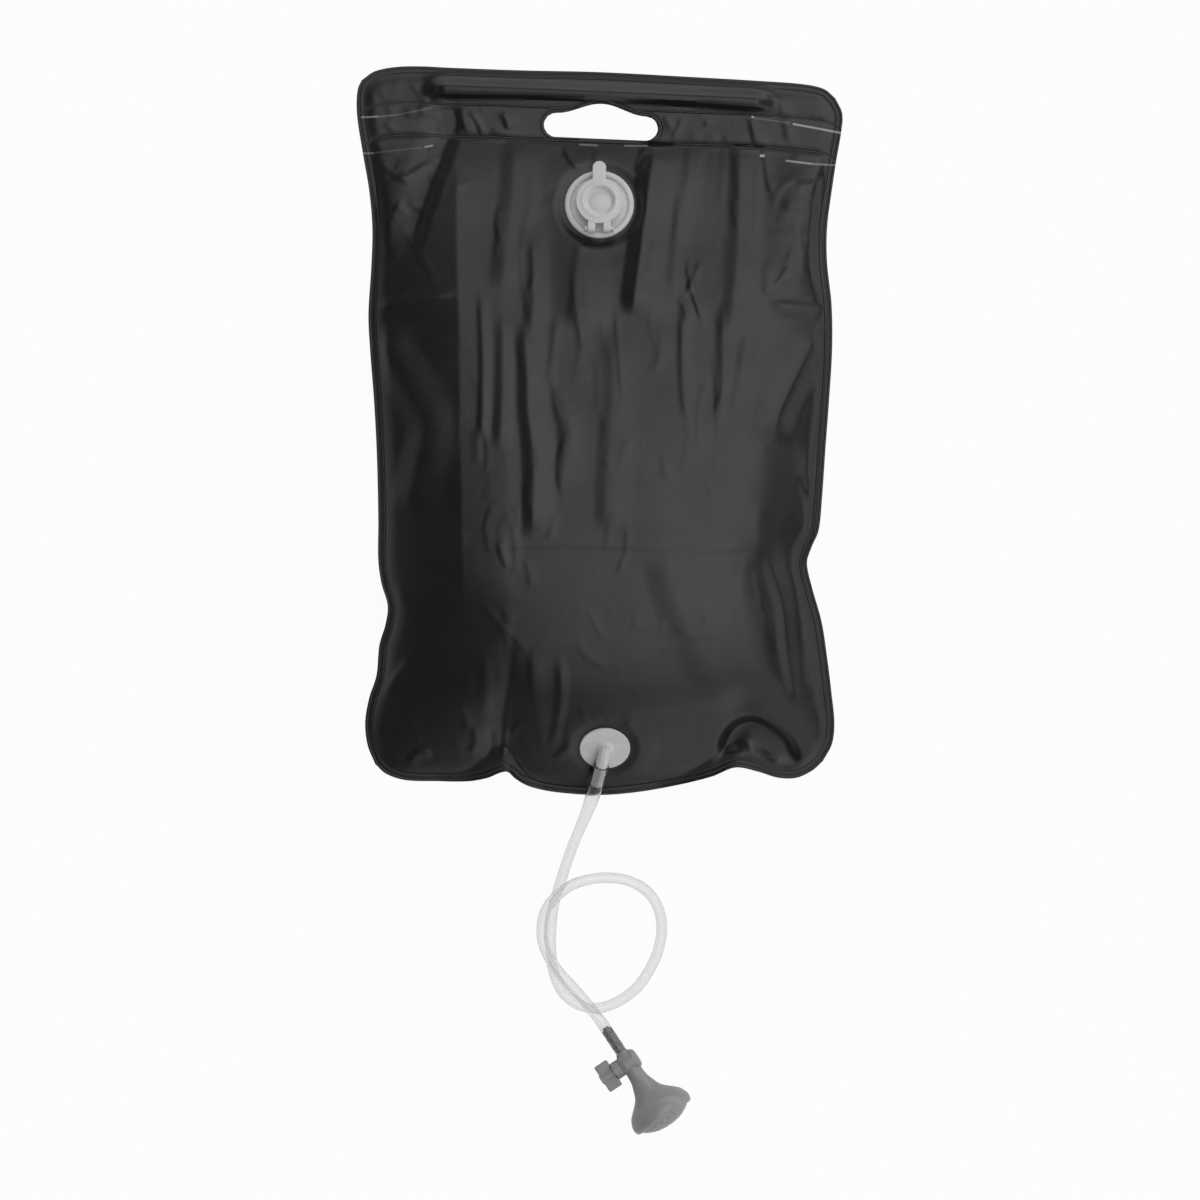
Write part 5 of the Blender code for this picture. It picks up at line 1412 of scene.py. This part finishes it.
class StageOperator(bpy.types.Operator):
    """Adds the camera, the pale floor and the studio light"""
    bl_idname = "camp_shower.stage"
    bl_label = "Stage"

    def execute(self, context):
        stage = context.scene.camp_shower.stage
        data = bpy.data.cameras.new("camera")
        camera = bpy.data.objects.new("camera", data)
        context.scene.collection.objects.link(camera)
        camera.location = (*CAMERA_PLACE, stage.camera_height)
        data.sensor_width = 36.0
        data.lens = data.sensor_width * (stage.camera_height - VIEW_PLANE) / stage.view_width
        context.scene.camera = camera
        context.scene.view_settings.view_transform = "Standard"
        context.scene.world = self.studio_world(stage)
        self.add_floor(stage)
        return {"FINISHED"}

    def studio_world(self, stage):
        """A dim room with a long softbox overhead on the right, and light walls."""
        world = bpy.data.worlds.new("studio")
        world.use_nodes = True
        tree = world.node_tree
        back = tree.nodes["Background"]
        direction = tree.nodes.new("ShaderNodeTexCoord").outputs["Generated"]
        low = add_node(tree, "ShaderNodeSeparateXYZ", {0: direction}).outputs["Z"]
        wall = range_node(tree, low, math.cos(stage.wall_top), math.cos(stage.wall_full), 0.0,
                          stage.wall, "SMOOTHSTEP")
        towards = (math.cos(stage.wall_turn), math.sin(stage.wall_turn), 0.0)
        side = vector_node(tree, "DOT_PRODUCT", direction, towards, output="Value")
        side = math_node(tree, "MULTIPLY_ADD", side, stage.wall_lean, 1.0)
        light = math_node(tree, "MULTIPLY_ADD", wall, side, stage.world)
        glow = stage.box
        for edge in BOX_EDGES:
            turn = math.radians(edge.turn)
            lean = vector_node(tree, "DOT_PRODUCT", direction,
                               (math.cos(turn), math.sin(turn), 0.0), output="Value")
            ramp = range_node(tree, lean, math.sin(math.radians(edge.dark)),
                              math.sin(math.radians(edge.full)), edge.least, 1.0, "SMOOTHSTEP")
            glow = math_node(tree, "MULTIPLY", ramp, glow)
        light = math_node(tree, "ADD", light, glow)
        rays = tree.nodes.new("ShaderNodeLightPath")
        strength = range_node(tree, rays.outputs["Is Camera Ray"], 0.0, 1.0, light, 1.0)
        tree.links.new(strength, back.inputs["Strength"])
        back.inputs["Color"].default_value = (1.0, 1.0, 1.0, 1.0)
        return world

    def add_floor(self, stage):
        bm = bmesh.new()
        bmesh.ops.create_grid(bm, x_segments=FLOOR_SQUARES, y_segments=FLOOR_SQUARES,
                              size=FLOOR_REACH)
        material, tree, shader = new_material("pale_floor")
        tree.nodes.remove(shader)
        rays = tree.nodes.new("ShaderNodeLightPath")
        seen = math_node(tree, "MAXIMUM", rays.outputs["Is Camera Ray"],
                         rays.outputs["Is Transmission Ray"])
        share = math_node(tree, "MULTIPLY", seen, stage.white)
        diffuse = add_node(tree, "ShaderNodeBsdfDiffuse", {"Color": FLOOR_COLOUR})
        plain = add_node(tree, "ShaderNodeEmission", {"Strength": 1.0})
        mixed = add_node(tree, "ShaderNodeMixShader", {0: share, 1: diffuse.outputs[0],
                                                       2: plain.outputs[0]})
        tree.links.new(mixed.outputs[0], tree.nodes["Material Output"].inputs["Surface"])
        floor = object_from_bmesh("floor", bm, material)
        floor.location.z = -FLOOR_DROP


class SurfaceOperator(bpy.types.Operator):
    """Builds the node groups that the materials share"""
    bl_idname = "camp_shower.surfaces"
    bl_label = "Surface effects"

    def execute(self, context):
        build_line_group()
        build_stroke_group()
        build_grain_group()
        build_crumple_group()
        return {"FINISHED"}


class HoseOperator(bpy.types.Operator):
    """Adds the clear hose along its route"""
    bl_idname = "camp_shower.hose"
    bl_label = "Hose"

    def execute(self, context):
        settings = context.scene.camp_shower
        make_hose(settings.film, settings.valve, settings.hose)
        return {"FINISHED"}


class FilmOperator(bpy.types.Operator):
    """Adds the two film panels with their folds and welds"""
    bl_idname = "camp_shower.film"
    bl_label = "Film panels"

    def execute(self, context):
        settings = context.scene.camp_shower
        material = film_material(settings.film)
        make_front(settings.film, settings.valve, material)
        make_rear(settings.film, material)
        rod = plastic_material("rod_plastic", (0.3, 0.3, 0.31), roughness=0.5,
                               grain_scale=700.0, grain=0.1)
        repaint("hem_rod", rod)
        return {"FINISHED"}


class FittingOperator(bpy.types.Operator):
    """Finishes the filler valve and the outlet"""
    bl_idname = "camp_shower.fittings"
    bl_label = "Valve and outlet"

    def execute(self, context):
        valve = context.scene.camp_shower.valve
        soft = plastic_material("valve_plastic", valve.colour, roughness=0.26,
                                grain_scale=420.0, grain=0.1)
        film = context.scene.camp_shower.film
        make_valve_base(film, valve, soft)
        make_valve_cap(film, valve, soft)
        repaint("outlet_flange", soft)
        return {"FINISHED"}


class HeadOperator(bpy.types.Operator):
    """Finishes the shower head and its tap"""
    bl_idname = "camp_shower.head"
    bl_label = "Shower head"

    def execute(self, context):
        head = context.scene.camp_shower.head
        hard = plastic_material("head_plastic", head.colour, head.roughness,
                                grain_scale=300.0, grain=0.08)
        make_head(head, hard)
        for node in ("rose_plate", "tap_spindle"):
            repaint(node, hard)
        rubber = plastic_material("ring_rubber", (0.02, 0.02, 0.02), roughness=0.6,
                                  grain_scale=500.0, grain=0.1)
        for node in ("tap_ring_outer", "tap_ring_inner"):
            repaint(node, rubber)
        return {"FINISHED"}


STEPS = (StageOperator, SurfaceOperator, HoseOperator, FilmOperator, FittingOperator,
         HeadOperator)


class CampShowerPanel(bpy.types.Panel):
    """Lists the steps that dress the camp shower bag"""
    bl_idname = "VIEW3D_PT_camp_shower"
    bl_label = "Camp Shower"
    bl_space_type = "VIEW_3D"
    bl_region_type = "UI"
    bl_category = "Camp Shower"

    def draw(self, context):
        for step in STEPS:
            self.layout.operator(step.bl_idname)


CLASSES = (FilmSettings, ValveSettings, HoseSettings, HeadSettings, StageSettings,
           CampShowerSettings, *STEPS, CampShowerPanel)


def register():
    for item in CLASSES:
        bpy.utils.register_class(item)
    bpy.types.Scene.camp_shower = PointerProperty(type=CampShowerSettings)


def unregister():
    del bpy.types.Scene.camp_shower
    for item in reversed(CLASSES):
        bpy.utils.unregister_class(item)


def main():
    register()
    for step in STEPS:
        group, name = step.bl_idname.split(".")
        getattr(getattr(bpy.ops, group), name)()


if __name__ == "__main__":
    main()
